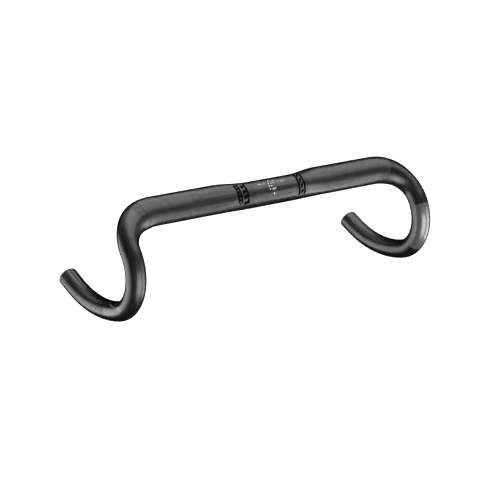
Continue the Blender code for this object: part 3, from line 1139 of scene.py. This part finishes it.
@dataclass
class PrintedFilm:
    """A set of printed marks on the skin that stands for one film."""

    skin: BarSkin
    name: str
    node: str
    slot: str
    materials: list[bpy.types.Material]
    marks: list[Mark]
    height: float = 0.00009
    root: float = -0.00006
    along_step: float = 0.002
    turn_step: float = math.radians(3)

    def patch(self, bm: bmesh.types.BMesh, mark: Mark) -> None:
        """Add one mark to the film.

        Args:
            bm: The film's mesh.
            mark: The mark.
        """
        low, high = (math.radians(value) for value in mark.turn)
        middle = (low + high) / 2
        turns = even_stops(low, high, self.turn_step)
        levels = []
        for lift in (self.height + 0.00001 * mark.ink, self.root):
            rows = []
            for share in even_stops(0.0, 1.0, self.along_step / abs(mark.along[1] - mark.along[0])):
                row = []
                for turn in turns:
                    start, end = mark.along
                    distance = start + (end - start) * share + mark.slant * (turn - middle)
                    place = self.skin.points(distance, np.array([turn]), lift)[0]
                    row.append((bm.verts.new(place), distance, turn))
                rows.append(row)
            levels.append(rows)
        top, bottom = levels
        ply = bm.verts.layers.float_vector[PLY_ATTRIBUTE]
        for rows in levels:
            for row in rows:
                for vertex, distance, turn in row:
                    radius = self.skin.tube_radius
                    vertex[ply] = (distance, radius * math.cos(turn), radius * math.sin(turn))
        for first in range(len(top) - 1):
            for second in range(len(turns) - 1):
                for rows in (top, bottom):
                    self.face(bm, mark, rows, ((first, second), (first + 1, second),
                                               (first + 1, second + 1), (first, second + 1)))
        border = [(index, 0) for index in range(len(top))]
        border += [(len(top) - 1, index) for index in range(1, len(turns))]
        border += [(index, len(turns) - 1) for index in range(len(top) - 2, -1, -1)]
        border += [(0, index) for index in range(len(turns) - 2, 0, -1)]
        for (a, b), (c, d) in zip(border, border[1:] + border[:1]):
            face = bm.faces.new((top[a][b][0], top[c][d][0], bottom[c][d][0], bottom[a][b][0]))
            face.material_index = mark.ink

    @staticmethod
    def face(
        bm: bmesh.types.BMesh,
        mark: Mark,
        rows: list[list[tuple[bmesh.types.BMVert, float, float]]],
        corners: Iterable[tuple[int, int]],
    ) -> None:
        """Add one face of a mark from its corners' row and column."""
        face = bm.faces.new([rows[a][b][0] for a, b in corners])
        face.material_index = mark.ink

    def build(self) -> bpy.types.Object:
        """Build the film's marks as one piece."""
        mesh = bpy.data.meshes.new(self.name)
        bm = bmesh.new()
        bm.verts.layers.float_vector.new(PLY_ATTRIBUTE)
        for mark in self.marks:
            self.patch(bm, mark)
        bmesh.ops.recalc_face_normals(bm, faces=bm.faces)
        bm.to_mesh(mesh)
        bm.free()
        body = bpy.data.objects.new(self.name, mesh)
        bpy.context.scene.collection.objects.link(body)
        mesh.shade_smooth()
        mesh.set_sharp_from_angle(angle=math.radians(32))
        return finish_piece(body, "bar", self.node, self.materials)


@dataclass
class ClampGraphics:
    """The generic printing of the clamp zone: two patterned bands and a centring scale."""

    skin: BarSkin
    finishes: Finishes
    arc: tuple[float, float] = (22.0, 134.0)
    scale_centre: float = -0.0034
    left_rings: tuple[float, float] = (0.0341, 0.0423)
    left_ring_width: float = 0.0032
    lozenge_span: tuple[float, float] = (0.0357, 0.0407)
    lozenge_arc: tuple[float, float] = (26.0, 130.0)
    lozenge_count: int = 4
    dot_rows: tuple[tuple[float, tuple[float, ...]], ...] = (
        (112.0, (-0.0026, 0.0040)),
        (98.0, (-0.0044, -0.0006, 0.0028)),
        (84.0, (-0.0046, -0.0012)),
        (71.0, (-0.0046, 0.0032)),
    )

    def ring(self, middle: float, width: float, ink: Ink = Ink.MAIN, shorten: float = 0.0) -> Mark:
        """A solid ring over the film's arc, centred on a distance."""
        half = width / 2
        return Mark((middle - half, middle + half), (self.arc[0] + shorten, self.arc[1] - shorten), ink)

    @staticmethod
    def dashes(
        along: tuple[float, float],
        arc: tuple[float, float],
        count: int,
        share: float,
        ink: Ink = Ink.MAIN,
        slant: float = 0.0,
    ) -> list[Mark]:
        """A row of equal marks round the section.

        Args:
            along: The distances each mark spans.
            arc: First and last turn of the row, in degrees.
            count: How many marks.
            share: The marks' share of each step.
            ink: The ink.
            slant: How far a mark leans along the bar, in metres for each radian.

        Returns:
            The marks.
        """
        step = (arc[1] - arc[0]) / count
        marks = []
        for index in range(count):
            middle = arc[0] + step * (index + 0.5)
            half = step * share / 2
            marks.append(Mark(along, (middle - half, middle + half), ink, slant))
        return marks

    def left_marks(self) -> list[Mark]:
        """The left band: black lozenges with thin pale outlines between two rings, and a broken ring."""
        marks = [self.ring(place, self.left_ring_width) for place in self.left_rings]
        marks += self.lozenges(self.lozenge_span, self.lozenge_arc, self.lozenge_count)
        marks += self.dashes((0.0464, 0.0473), (44.0, 134.0), 7, 0.7, Ink.GHOST)
        marks += self.dashes((0.0480, 0.0486), (60.0, 130.0), 4, 0.6, Ink.GHOST)
        return marks

    @staticmethod
    def lozenges(along: tuple[float, float], arc: tuple[float, float], count: int) -> list[Mark]:
        """Black slanted lozenges, each inside a thin pale outline.

        Args:
            along: The distances the row spans.
            arc: First and last turn of the row, in degrees.
            count: How many lozenges.

        Returns:
            The marks.
        """
        step = (arc[1] - arc[0]) / count
        low, high = along
        line = 0.0008
        lean = 0.0075
        marks = []
        for index in range(count):
            start = arc[0] + step * index
            end = start + step * 0.84
            marks.append(Mark((low + line, high - line), (start + 1.0, end - 1.0), Ink.MAIN, lean))
            marks.append(Mark((low + 0.0002, low + line), (start + 4.0, end), Ink.OUTLINE, lean))
            marks.append(Mark((high - line, high - 0.0002), (start, end - 4.0), Ink.OUTLINE, lean))
        return marks

    def right_marks(self) -> list[Mark]:
        """The right band: two close rings with rungs between, and a bold stepped pattern."""
        marks = [self.ring(-0.0527, 0.0022, shorten=14.0), self.ring(-0.0490, 0.0021, shorten=12.0)]
        marks += self.dashes((-0.0517, -0.0499), (24.0, 124.0), 6, 0.46)
        steps = (24.0, 48.0, 72.0, 96.0)
        for index, low in enumerate(steps):
            marks.append(Mark((-0.0418, -0.0390), (low + 5.0, low + 27.0)))
            marks.append(Mark((-0.0462, -0.0426), (low + 1.0, low + 16.0)))
            marks.append(Mark((-0.0425, -0.0419), (low + (9.0 if index % 2 else 5.5), low + 15.5)))
        marks += self.dashes((-0.0349, -0.0338), (30.0, 116.0), 7, 0.4, Ink.GHOST)
        marks += self.dashes((-0.0322, -0.0310), (44.0, 110.0), 5, 0.4, Ink.GHOST, 0.003)
        return marks

    def dot(self, along: float, turn: float, length: float = 0.0016, height: float = 3.6) -> Mark:
        """A small dot of the scale, by its middle."""
        return Mark((along - length / 2, along + length / 2), (turn - height / 2, turn + height / 2))

    def scale_marks(self) -> list[Mark]:
        """The centring scale: rows of dots, a small ring, a centre dash and two side rules."""
        centre = self.scale_centre
        marks = [self.dot(centre, 50.5, 0.0008, 9.0)]
        for turn, places in self.dot_rows:
            marks += [self.dot(centre + place, turn) for place in places]
        for place, turn in ((-0.0011, 70.0), (0.0011, 70.0)):
            marks.append(self.dot(centre + place, turn, 0.0006, 5.0))
        for turn in (67.4, 72.6):
            marks.append(self.dot(centre, turn, 0.0018, 1.5))
        for sign in (-1.0, 1.0):
            marks.append(self.dot(centre + sign * 0.0168, 101.0, 0.0060, 1.8))
            marks.append(self.dot(centre + sign * 0.0105, 100.0, 0.0026, 1.4))
        return marks

    def build(self) -> None:
        """Print the two bands and the scale."""
        inks = [self.finishes[name] for name in ("black_print", "pale_print", "ghost_print")]
        white = [self.finishes[name] for name in ("white_print", "ghost_print")]
        PrintedFilm(
            self.skin, "left_band_print", "left_graphic_band", "black_print", inks, self.left_marks()
        ).build()
        PrintedFilm(
            self.skin, "right_band_print", "right_graphic_band", "black_print", inks, self.right_marks()
        ).build()
        PrintedFilm(
            self.skin, "centring_scale_print", "centre_scale", "white_print", white, self.scale_marks()
        ).build()


# ------------------------------------------------------------------ end plugs

Profile = list[tuple[float, float]]
RadiusRule = Callable[[np.ndarray, float, float], np.ndarray]


def rounded(profile: Profile, radius: float, steps: int = 3, closed: bool = True) -> Profile:
    """Round every corner of a profile.

    Args:
        profile: Its corners as radius and height.
        radius: The rounding's size, cut down where a side is short.
        steps: Points on each rounding, less one.
        closed: Whether the last corner joins the first; open ends stay as they are.

    Returns:
        The rounded profile.
    """
    result: Profile = []
    count = len(profile)
    for index, corner in enumerate(profile):
        if not closed and index in (0, count - 1):
            result.append(corner)
            continue
        here = Vector(corner)
        before = Vector(profile[index - 1]) - here
        after = Vector(profile[(index + 1) % count]) - here
        reach = min(radius, before.length * 0.45, after.length * 0.45)
        start = here + before.normalized() * reach
        end = here + after.normalized() * reach
        for step in range(steps + 1):
            share = step / steps
            point = start * (1 - share) ** 2 + here * 2 * share * (1 - share) + end * share**2
            result.append((point.x, point.y))
    return result


@dataclass(frozen=True)
class PlugAxis:
    """Where a plug sits: its origin on the tube's end face and its own three directions."""

    origin: Vector
    sideways: Vector
    third: Vector
    outward: Vector

    @classmethod
    def of(cls, skin: BarSkin, side: Side) -> "PlugAxis":
        """Return the axis of one side's plug."""
        here = skin.station(skin.tube_end)
        mirror = Vector((side.value, 1.0, 1.0))
        outward = here.direction * mirror
        sideways = -here.first * mirror
        return cls(here.centre * mirror, sideways, outward.cross(sideways), outward)

    def placed(self, local: np.ndarray) -> np.ndarray:
        """Turn points of the plug's own frame into points of the row's frame."""
        axes = np.array([self.sideways, self.third, self.outward])
        return np.array(self.origin) + local @ axes


@dataclass
class Turning:
    """A turned piece: a profile swept round the plug's axis, with a rule that may vary its radius."""

    axis: PlugAxis
    name: str
    profile: Profile
    closed: bool
    segments: int = 72
    rule: RadiusRule | None = None
    extra_turns: tuple[float, ...] = ()
    slot_half_width: float = 0.0

    def grid(self) -> tuple[np.ndarray, np.ndarray, np.ndarray]:
        """Return the swept points, their turning coordinates and how rubbed each is."""
        even = [FULL_TURN * index / self.segments for index in range(self.segments)]
        turns = np.array(sorted(set(even) | {turn % FULL_TURN for turn in self.extra_turns}))
        if self.slot_half_width > 0.0:
            turns = np.append(turns, FULL_TURN)
        corners = np.array(self.profile)
        before = np.roll(corners, 1, axis=0) - corners
        after = np.roll(corners, -1, axis=0) - corners
        cross = before[:, 0] * after[:, 1] - before[:, 1] * after[:, 0]
        sizes = np.linalg.norm(before, axis=1) * np.linalg.norm(after, axis=1) + 1e-12
        rubs = np.clip(cross / sizes * 2.0, 0.0, 1.0)
        rows, plies, rub_rows = [], [], []
        for (radius, height), rub in zip(self.profile, rubs):
            angles = turns
            if self.slot_half_width > 0.0:
                edge = math.asin(self.slot_half_width / radius)
                angles = edge + turns * (FULL_TURN - 2 * edge) / FULL_TURN
            radii = np.full_like(angles, radius)
            if self.rule is not None:
                radii = self.rule(angles, radius, height)
            local = [radii * np.cos(angles), radii * np.sin(angles), np.full_like(angles, height)]
            rows.append(self.axis.placed(np.stack(local, axis=1)))
            swept = np.abs(angles - math.pi) * 0.01
            plies.append(np.stack([swept, radii, np.full_like(angles, height)], axis=1))
            rub_rows.append(np.full_like(angles, rub))
        return np.array(rows), np.array(plies), np.array(rub_rows)

    def build(self, rides: str, node: str, slot: str, material: bpy.types.Material) -> bpy.types.Object:
        """Sweep the profile and dress the piece.

        Args:
            rides: The CAD body it moves with.
            node: The CAD node it stands for.
            slot: The record's material slot; not used.
            material: Its material.

        Returns:
            The piece.
        """
        points, plies, rubs = self.grid()
        attributes = {PLY_ATTRIBUTE: plies, RUB_ATTRIBUTE: rubs}
        split = self.slot_half_width > 0.0
        body = body_from_grid(self.name, points, not split, self.closed, attributes)
        if split:
            self.close_slot(body, len(self.profile), points.shape[1])
        tidy_surface(body)
        return finish_piece(body, rides, node, [material])

    @staticmethod
    def close_slot(body: bpy.types.Object, rows: int, columns: int) -> None:
        """Face the two sides of a slot with the profile.

        Args:
            body: The split sweep.
            rows: Points on the profile.
            columns: Points round the sweep.
        """
        bm = bmesh.new()
        bm.from_mesh(body.data)
        bm.verts.ensure_lookup_table()
        for column in (0, columns - 1):
            bm.faces.new([bm.verts[row * columns + column] for row in range(rows)])
        bm.to_mesh(body.data)
        bm.free()


@dataclass
class EndPlug:
    """An expanding end plug: cap, washer, screw, split collar and wedge nut.

    Heights run along the plug's axis: 0 is the end face of the tube, and positive is outward.
    """

    skin: BarSkin
    finishes: Finishes
    side: Side
    gap: float = 0.0003
    flange_top: float = 0.0018
    spigot_radius: float = 0.0094
    cap_bottom: float = -0.0052
    recess_radius: float = 0.0047
    recess_bottom: float = -0.0028
    hole_radius: float = 0.0023
    washer_radius: float = 0.0044
    washer_thickness: float = 0.0008
    screw_radius: float = 0.0020
    head_radius: float = 0.0035
    head_height: float = 0.0026
    screw_tip: float = -0.0240
    pitch: float = 0.0007
    thread_depth: float = 0.00032
    key_flats: float = 0.0025
    key_depth: float = 0.0015
    collar_radius: float = 0.0093
    collar_bottom: float = -0.0155
    collar_bore: float = 0.0026
    cone_from: float = -0.0080
    cone_mouth: float = 0.0068
    slot_width: float = 0.0024
    wedge_top: float = -0.0110
    cone_slack: float = 0.0007
    wedge_radius: float = 0.0072
    wedge_bottom: float = -0.0195
    key_width: float = 0.0016
    key_reach: float = 0.0089
    key_bottom: float = -0.0180
    ribs: int = 8

    def __post_init__(self) -> None:
        """Work out the heights that follow from the others."""
        self.axis = PlugAxis.of(self.skin, self.side)
        self.washer_bottom = self.recess_bottom + self.gap
        self.washer_top = self.washer_bottom + self.washer_thickness
        self.head_bottom = self.washer_top + self.gap
        self.head_top = self.head_bottom + self.head_height
        self.collar_top = self.cap_bottom - self.gap
        cone_rise = self.cone_from - self.collar_bottom
        self.cone_slope = (self.cone_mouth - self.collar_bore) / cone_rise

    def named(self, word: str) -> str:
        """Return a name with the side before it."""
        return f"{self.side.word}_{word}"

    def build_cap(self) -> bpy.types.Object:
        """The cap: a softly domed flange with a ring groove, and a ribbed spigot."""
        edge = self.skin.tube_radius
        groove = 0.0078
        outside = [
            (edge - 0.0001, self.flange_top - 0.0007),
            (edge, self.flange_top - 0.0010),
            (edge, self.gap),
            (self.spigot_radius - 0.0002, self.gap),
            (self.spigot_radius - 0.0002, self.cap_bottom),
            (self.hole_radius, self.cap_bottom),
            (self.hole_radius, self.recess_bottom),
            (self.recess_radius, self.recess_bottom),
            (self.recess_radius, self.flange_top - 0.0001),
            (self.recess_radius + 0.0005, self.flange_top),
            (groove - 0.0004, self.flange_top - 0.00005),
            (groove, self.flange_top - 0.0004),
            (groove + 0.0004, self.flange_top - 0.0001),
            (edge - 0.0012, self.flange_top - 0.0003),
        ]

        def ribbed(turns: np.ndarray, radius: float, height: float) -> np.ndarray:
            """Raise crush ribs on the spigot."""
            radii = np.full_like(turns, radius)
            if height < 0.0 and radius > self.recess_radius + self.gap:
                peak = np.clip(np.cos(turns * self.ribs) * 4.0 - 3.0, 0.0, 1.0)
                radii += 0.0002 * peak
            return radii

        piece = Turning(
            self.axis, self.named("cap_moulding"), rounded(outside, 0.00025), True, 144, ribbed
        )
        return piece.build(
            self.named("plug"), self.named("end_cap"), "cap_plastic", self.finishes["cap_plastic"]
        )

    def build_washer(self) -> bpy.types.Object:
        """The flat washer under the screw's head, with one face rolled over by the stamping."""
        outline = [
            (self.washer_radius, self.washer_top),
            (self.washer_radius, self.washer_bottom),
            (self.hole_radius, self.washer_bottom),
            (self.hole_radius, self.washer_top),
        ]
        piece = Turning(self.axis, self.named("stamped_washer"), rounded(outline, 0.00018), True)
        return piece.build(
            self.named("plug"), self.named("plug_washer"), "zinc_steel", self.finishes["zinc_steel"]
        )

    def build_screw(self) -> bpy.types.Object:
        """The socket-head screw: knurled head, hexagon socket and a helical thread."""
        hexagon = self.key_flats / math.sqrt(3.0)
        floor_height = self.head_top - self.key_depth
        head = [
            (0.0, floor_height - 0.0004),
            (hexagon, floor_height),
            (hexagon, self.head_top - 0.0002),
            (hexagon + 0.0003, self.head_top),
        ]
        crown = rounded(
            [
                (hexagon + 0.0003, self.head_top),
                (self.head_radius, self.head_top),
                (self.head_radius, self.head_bottom),
                (self.screw_radius, self.head_bottom),
                (self.screw_radius, self.head_bottom - 0.0008),
            ],
            0.0003,
            closed=False,
        )[1:]
        knurled_to = self.head_top - 0.0005
        thread_top = self.head_bottom - 0.0012
        thread_bottom = self.screw_tip + 0.0006
        heights = even_stops(thread_top, thread_bottom, self.pitch / 8)
        shank = [(self.screw_radius, height) for height in heights]
        tip = [(self.screw_radius - 0.0006, self.screw_tip), (0.0, self.screw_tip)]
        hex_heights = (floor_height - 0.00001, self.head_top - 0.0002 + 0.00001)

        def cut(turns: np.ndarray, radius: float, height: float) -> np.ndarray:
            """Shape the socket's flats, the knurl and the thread."""
            radii = np.full_like(turns, radius)
            if abs(radius - hexagon) < 1e-6 and hex_heights[0] <= height <= hex_heights[1]:
                sixth = math.pi / 3
                return (self.key_flats / 2) / np.cos(turns % sixth - sixth / 2)
            if abs(radius - self.head_radius) < 1e-6 and height < knurled_to:
                return radii - 0.00012 * (0.5 + 0.5 * np.cos(turns * 36))
            if radius == self.screw_radius and height <= thread_top:
                wave = np.abs(((height / self.pitch - turns / FULL_TURN) % 1.0) * 2.0 - 1.0)
                fade = min(1.0, (thread_top - height) / self.pitch)
                return radii - self.thread_depth * fade * wave
            return radii

        profile = head + crown + shank + tip
        piece = Turning(self.axis, self.named("socket_screw"), profile, False, 144, cut)
        return piece.build(
            self.named("screw"), self.named("plug_screw"), "zinc_steel", self.finishes["zinc_steel"]
        )

    def build_collar(self) -> bpy.types.Object:
        """The split expander collar, with grip grooves outside and a cone inside."""
        grooves = 5
        first = self.collar_top - 0.0012
        spacing = (first - self.collar_bottom - 0.0012) / grooves
        outside: Profile = [
            (self.collar_radius - 0.0004, self.collar_top),
            (self.collar_radius, first + 0.0008),
        ]
        for index in range(grooves):
            top = first - spacing * index
            outside.append((self.collar_radius, top))
            outside.append((self.collar_radius - 0.0005, top - spacing * 0.28))
            outside.append((self.collar_radius - 0.0005, top - spacing * 0.42))
            outside.append((self.collar_radius, top - spacing * 0.52))
        outside += [
            (self.collar_radius, self.collar_bottom + 0.0005),
            (self.collar_radius - 0.0005, self.collar_bottom),
            (self.cone_mouth, self.collar_bottom),
            (self.collar_bore, self.cone_from),
            (self.collar_bore, self.collar_top),
        ]
        piece = Turning(
            self.axis,
            self.named("split_collar"),
            rounded(outside, 0.00015),
            True,
            96,
            slot_half_width=self.slot_width / 2,
        )
        return piece.build(
            self.named("plug"), self.named("expander_collar"), "grey_nylon", self.finishes["grey_nylon"]
        )

    def build_wedge(self) -> bpy.types.Object:
        """The wedge nut: a cone on a cylinder, with the key that rides in the collar's slot."""
        cone_from = self.cone_from - self.cone_slack
        top_radius = self.collar_bore + self.cone_slope * (cone_from - self.wedge_top)
        full_at = cone_from - (self.wedge_radius - self.collar_bore) / self.cone_slope
        key_top = self.wedge_top - self.gap
        step = 0.00002
        outline = [(top_radius, self.wedge_top)]
        key_top_radius = self.collar_bore + self.cone_slope * (cone_from - key_top)
        outline += [(key_top_radius, key_top), (key_top_radius, key_top - step)]
        outline += [
            (self.wedge_radius, full_at),
            (self.wedge_radius, self.key_bottom),
            (self.wedge_radius, self.key_bottom - step),
            (self.wedge_radius, self.wedge_bottom + 0.0004),
            (self.wedge_radius - 0.0004, self.wedge_bottom),
            (self.hole_radius + 0.0004, self.wedge_bottom),
            (self.hole_radius, self.wedge_bottom + 0.0004),
            (self.hole_radius, self.wedge_top - 0.0003),
            (self.hole_radius + 0.0003, self.wedge_top),
        ]
        half = self.key_width / 2
        tip_angle = math.asin(half / self.key_reach)

        def keyed(turns: np.ndarray, radius: float, height: float) -> np.ndarray:
            """Raise the key over its own height."""
            radii = np.full_like(turns, radius)
            outer = radius >= key_top_radius - 1e-7
            if outer and self.key_bottom - 1e-7 <= height <= key_top - step / 2:
                from_slot = (turns + math.pi) % FULL_TURN - math.pi
                radii = np.where(np.abs(from_slot) <= tip_angle + 1e-6, self.key_reach, radii)
            return radii

        root_angle = math.asin(half / self.wedge_radius)
        extra = (tip_angle, -tip_angle, root_angle, -root_angle)
        piece = Turning(self.axis, self.named("wedge_cone"), outline, True, 72, keyed, extra)
        return piece.build(
            self.named("wedge"), self.named("wedge_nut"), "bare_aluminium", self.finishes["bare_aluminium"]
        )

    def build(self) -> None:
        """Build the plug's five pieces."""
        self.build_cap()
        self.build_washer()
        self.build_screw()
        self.build_collar()
        self.build_wedge()


# ------------------------------------------------------------------ studio


@dataclass(frozen=True)
class Softbox:
    """A softbox seen from the bar's middle, by direction, angular size and radiance.

    Azimuth 0 is in front of the bar, at -Y, and 90 is on the rider's left, at +X.
    """

    name: str
    azimuth: float
    elevation: float
    width: float
    height: float
    radiance: float
    distance: float = 2.4
    roll: float = 0.0

    def build(self) -> None:
        """Hang the softbox."""
        azimuth = math.radians(self.azimuth)
        elevation = math.radians(self.elevation)
        away = Vector(
            (
                math.sin(azimuth) * math.cos(elevation),
                -math.cos(azimuth) * math.cos(elevation),
                math.sin(elevation),
            )
        )
        light = bpy.data.lights.new(self.name, "AREA")
        light.shape = "RECTANGLE"
        light.size = 2.0 * self.distance * math.tan(math.radians(self.width) / 2)
        light.size_y = 2.0 * self.distance * math.tan(math.radians(self.height) / 2)
        light.energy = self.radiance * math.pi * light.size * light.size_y
        lamp = bpy.data.objects.new(self.name, light)
        turn = away.to_track_quat("Z", "Y").to_matrix().to_4x4()
        spin = Matrix.Rotation(math.radians(self.roll), 4, "Z")
        lamp.matrix_world = Matrix.Translation(away * self.distance) @ turn @ spin
        lamp.visible_camera = False
        bpy.context.scene.collection.objects.link(lamp)


@dataclass
class Studio:
    """The camera, the softboxes, the pale floor and the dark surroundings they stand in."""

    azimuth: float = -57.77
    elevation: float = 47.53
    roll: float = 37.68
    distance: float = 2.08297
    slide: float = -0.021903
    rise: float = -0.068195
    lens: float = 127.48
    sensor: float = 36.0
    floor_height: float = -2.3
    floor_size: float = 60.0
    gloom: float = 0.003
    softboxes: tuple[Softbox, ...] = (
        Softbox("front_softbox", 1.0, 20.5, 41.0, 48.0, 7.6, roll=2.0),
        Softbox("left_strip_softbox", 52.0, 7.0, 26.0, 51.0, 5.6, roll=-18.0),
        Softbox("back_top_softbox", 150.0, 44.0, 70.0, 62.0, 2.6, roll=-30.0),
        Softbox("low_right_softbox", -105.0, -33.0, 56.0, 44.0, 3.5, roll=40.0),
        Softbox("back_right_softbox", -167.0, 32.0, 26.0, 89.0, 1.2, roll=10.0),
    )

    def build_camera(self) -> None:
        """Set the camera on its sphere round the bar, rolled and slid in its own plane."""
        azimuth = math.radians(self.azimuth)
        elevation = math.radians(self.elevation)
        roll = math.radians(self.roll)
        back = Vector(
            (
                math.sin(azimuth) * math.cos(elevation),
                -math.cos(azimuth) * math.cos(elevation),
                math.sin(elevation),
            )
        )
        level = Vector((math.cos(azimuth), math.sin(azimuth), 0.0))
        upright = level.cross(-back)
        right = level * math.cos(roll) + upright * math.sin(roll)
        up = upright * math.cos(roll) - level * math.sin(roll)
        lens = bpy.data.cameras.new("studio_camera")
        lens.lens = self.lens
        lens.sensor_width = self.sensor
        lens.clip_start = 0.01
        camera = bpy.data.objects.new("studio_camera", lens)
        camera.matrix_world = Matrix.Translation(
            right * self.slide + up * self.rise + back * self.distance
        ) @ Matrix((right, up, back)).transposed().to_4x4()
        bpy.context.scene.collection.objects.link(camera)
        bpy.context.scene.camera = camera

    def build_floor(self) -> None:
        """Lay the floor, which the bar doesn't mirror."""
        half = self.floor_size / 2
        corners = [(-half, -half), (half, -half), (half, half), (-half, half)]
        mesh = bpy.data.meshes.new("studio_floor")
        mesh.from_pydata([(x, y, self.floor_height) for x, y in corners], [], [(0, 1, 2, 3)])
        mesh.materials.append(StudioPaper().build())
        floor = bpy.data.objects.new("studio_floor", mesh)
        floor.visible_glossy = False
        floor.visible_diffuse = False
        floor.visible_shadow = False
        bpy.context.scene.collection.objects.link(floor)

    def build_world(self) -> None:
        """Surroundings that look white behind the bar and dark in its lacquer."""
        world = bpy.data.worlds.new("studio")
        world.use_nodes = True
        tree = world.node_tree
        path = tree.nodes.new("ShaderNodeLightPath")
        strength = ranged(tree, path.outputs["Is Camera Ray"], (0.0, 1.0), (self.gloom, 1.0))
        background = tree.nodes["Background"]
        background.inputs["Color"].default_value = (1.0, 1.0, 1.0, 1.0)
        tree.links.new(strength, background.inputs["Strength"])
        bpy.context.scene.world = world

    def build(self) -> None:
        """Build the studio."""
        self.build_camera()
        self.build_floor()
        self.build_world()
        for softbox in self.softboxes:
            softbox.build()
        bpy.context.scene.view_settings.view_transform = "Standard"


def main() -> None:
    """Build the handlebar's pieces in order, then the studio."""
    logging.basicConfig(level=logging.INFO, format="%(name)s: %(message)s")
    skin = BarSkin()
    finishes = Finishes()
    BarShells(skin, finishes).build()
    ClampGraphics(skin, finishes).build()
    for side in Side:
        EndPlug(skin, finishes, side).build()
    Studio().build()


if __name__ == "__main__":
    main()
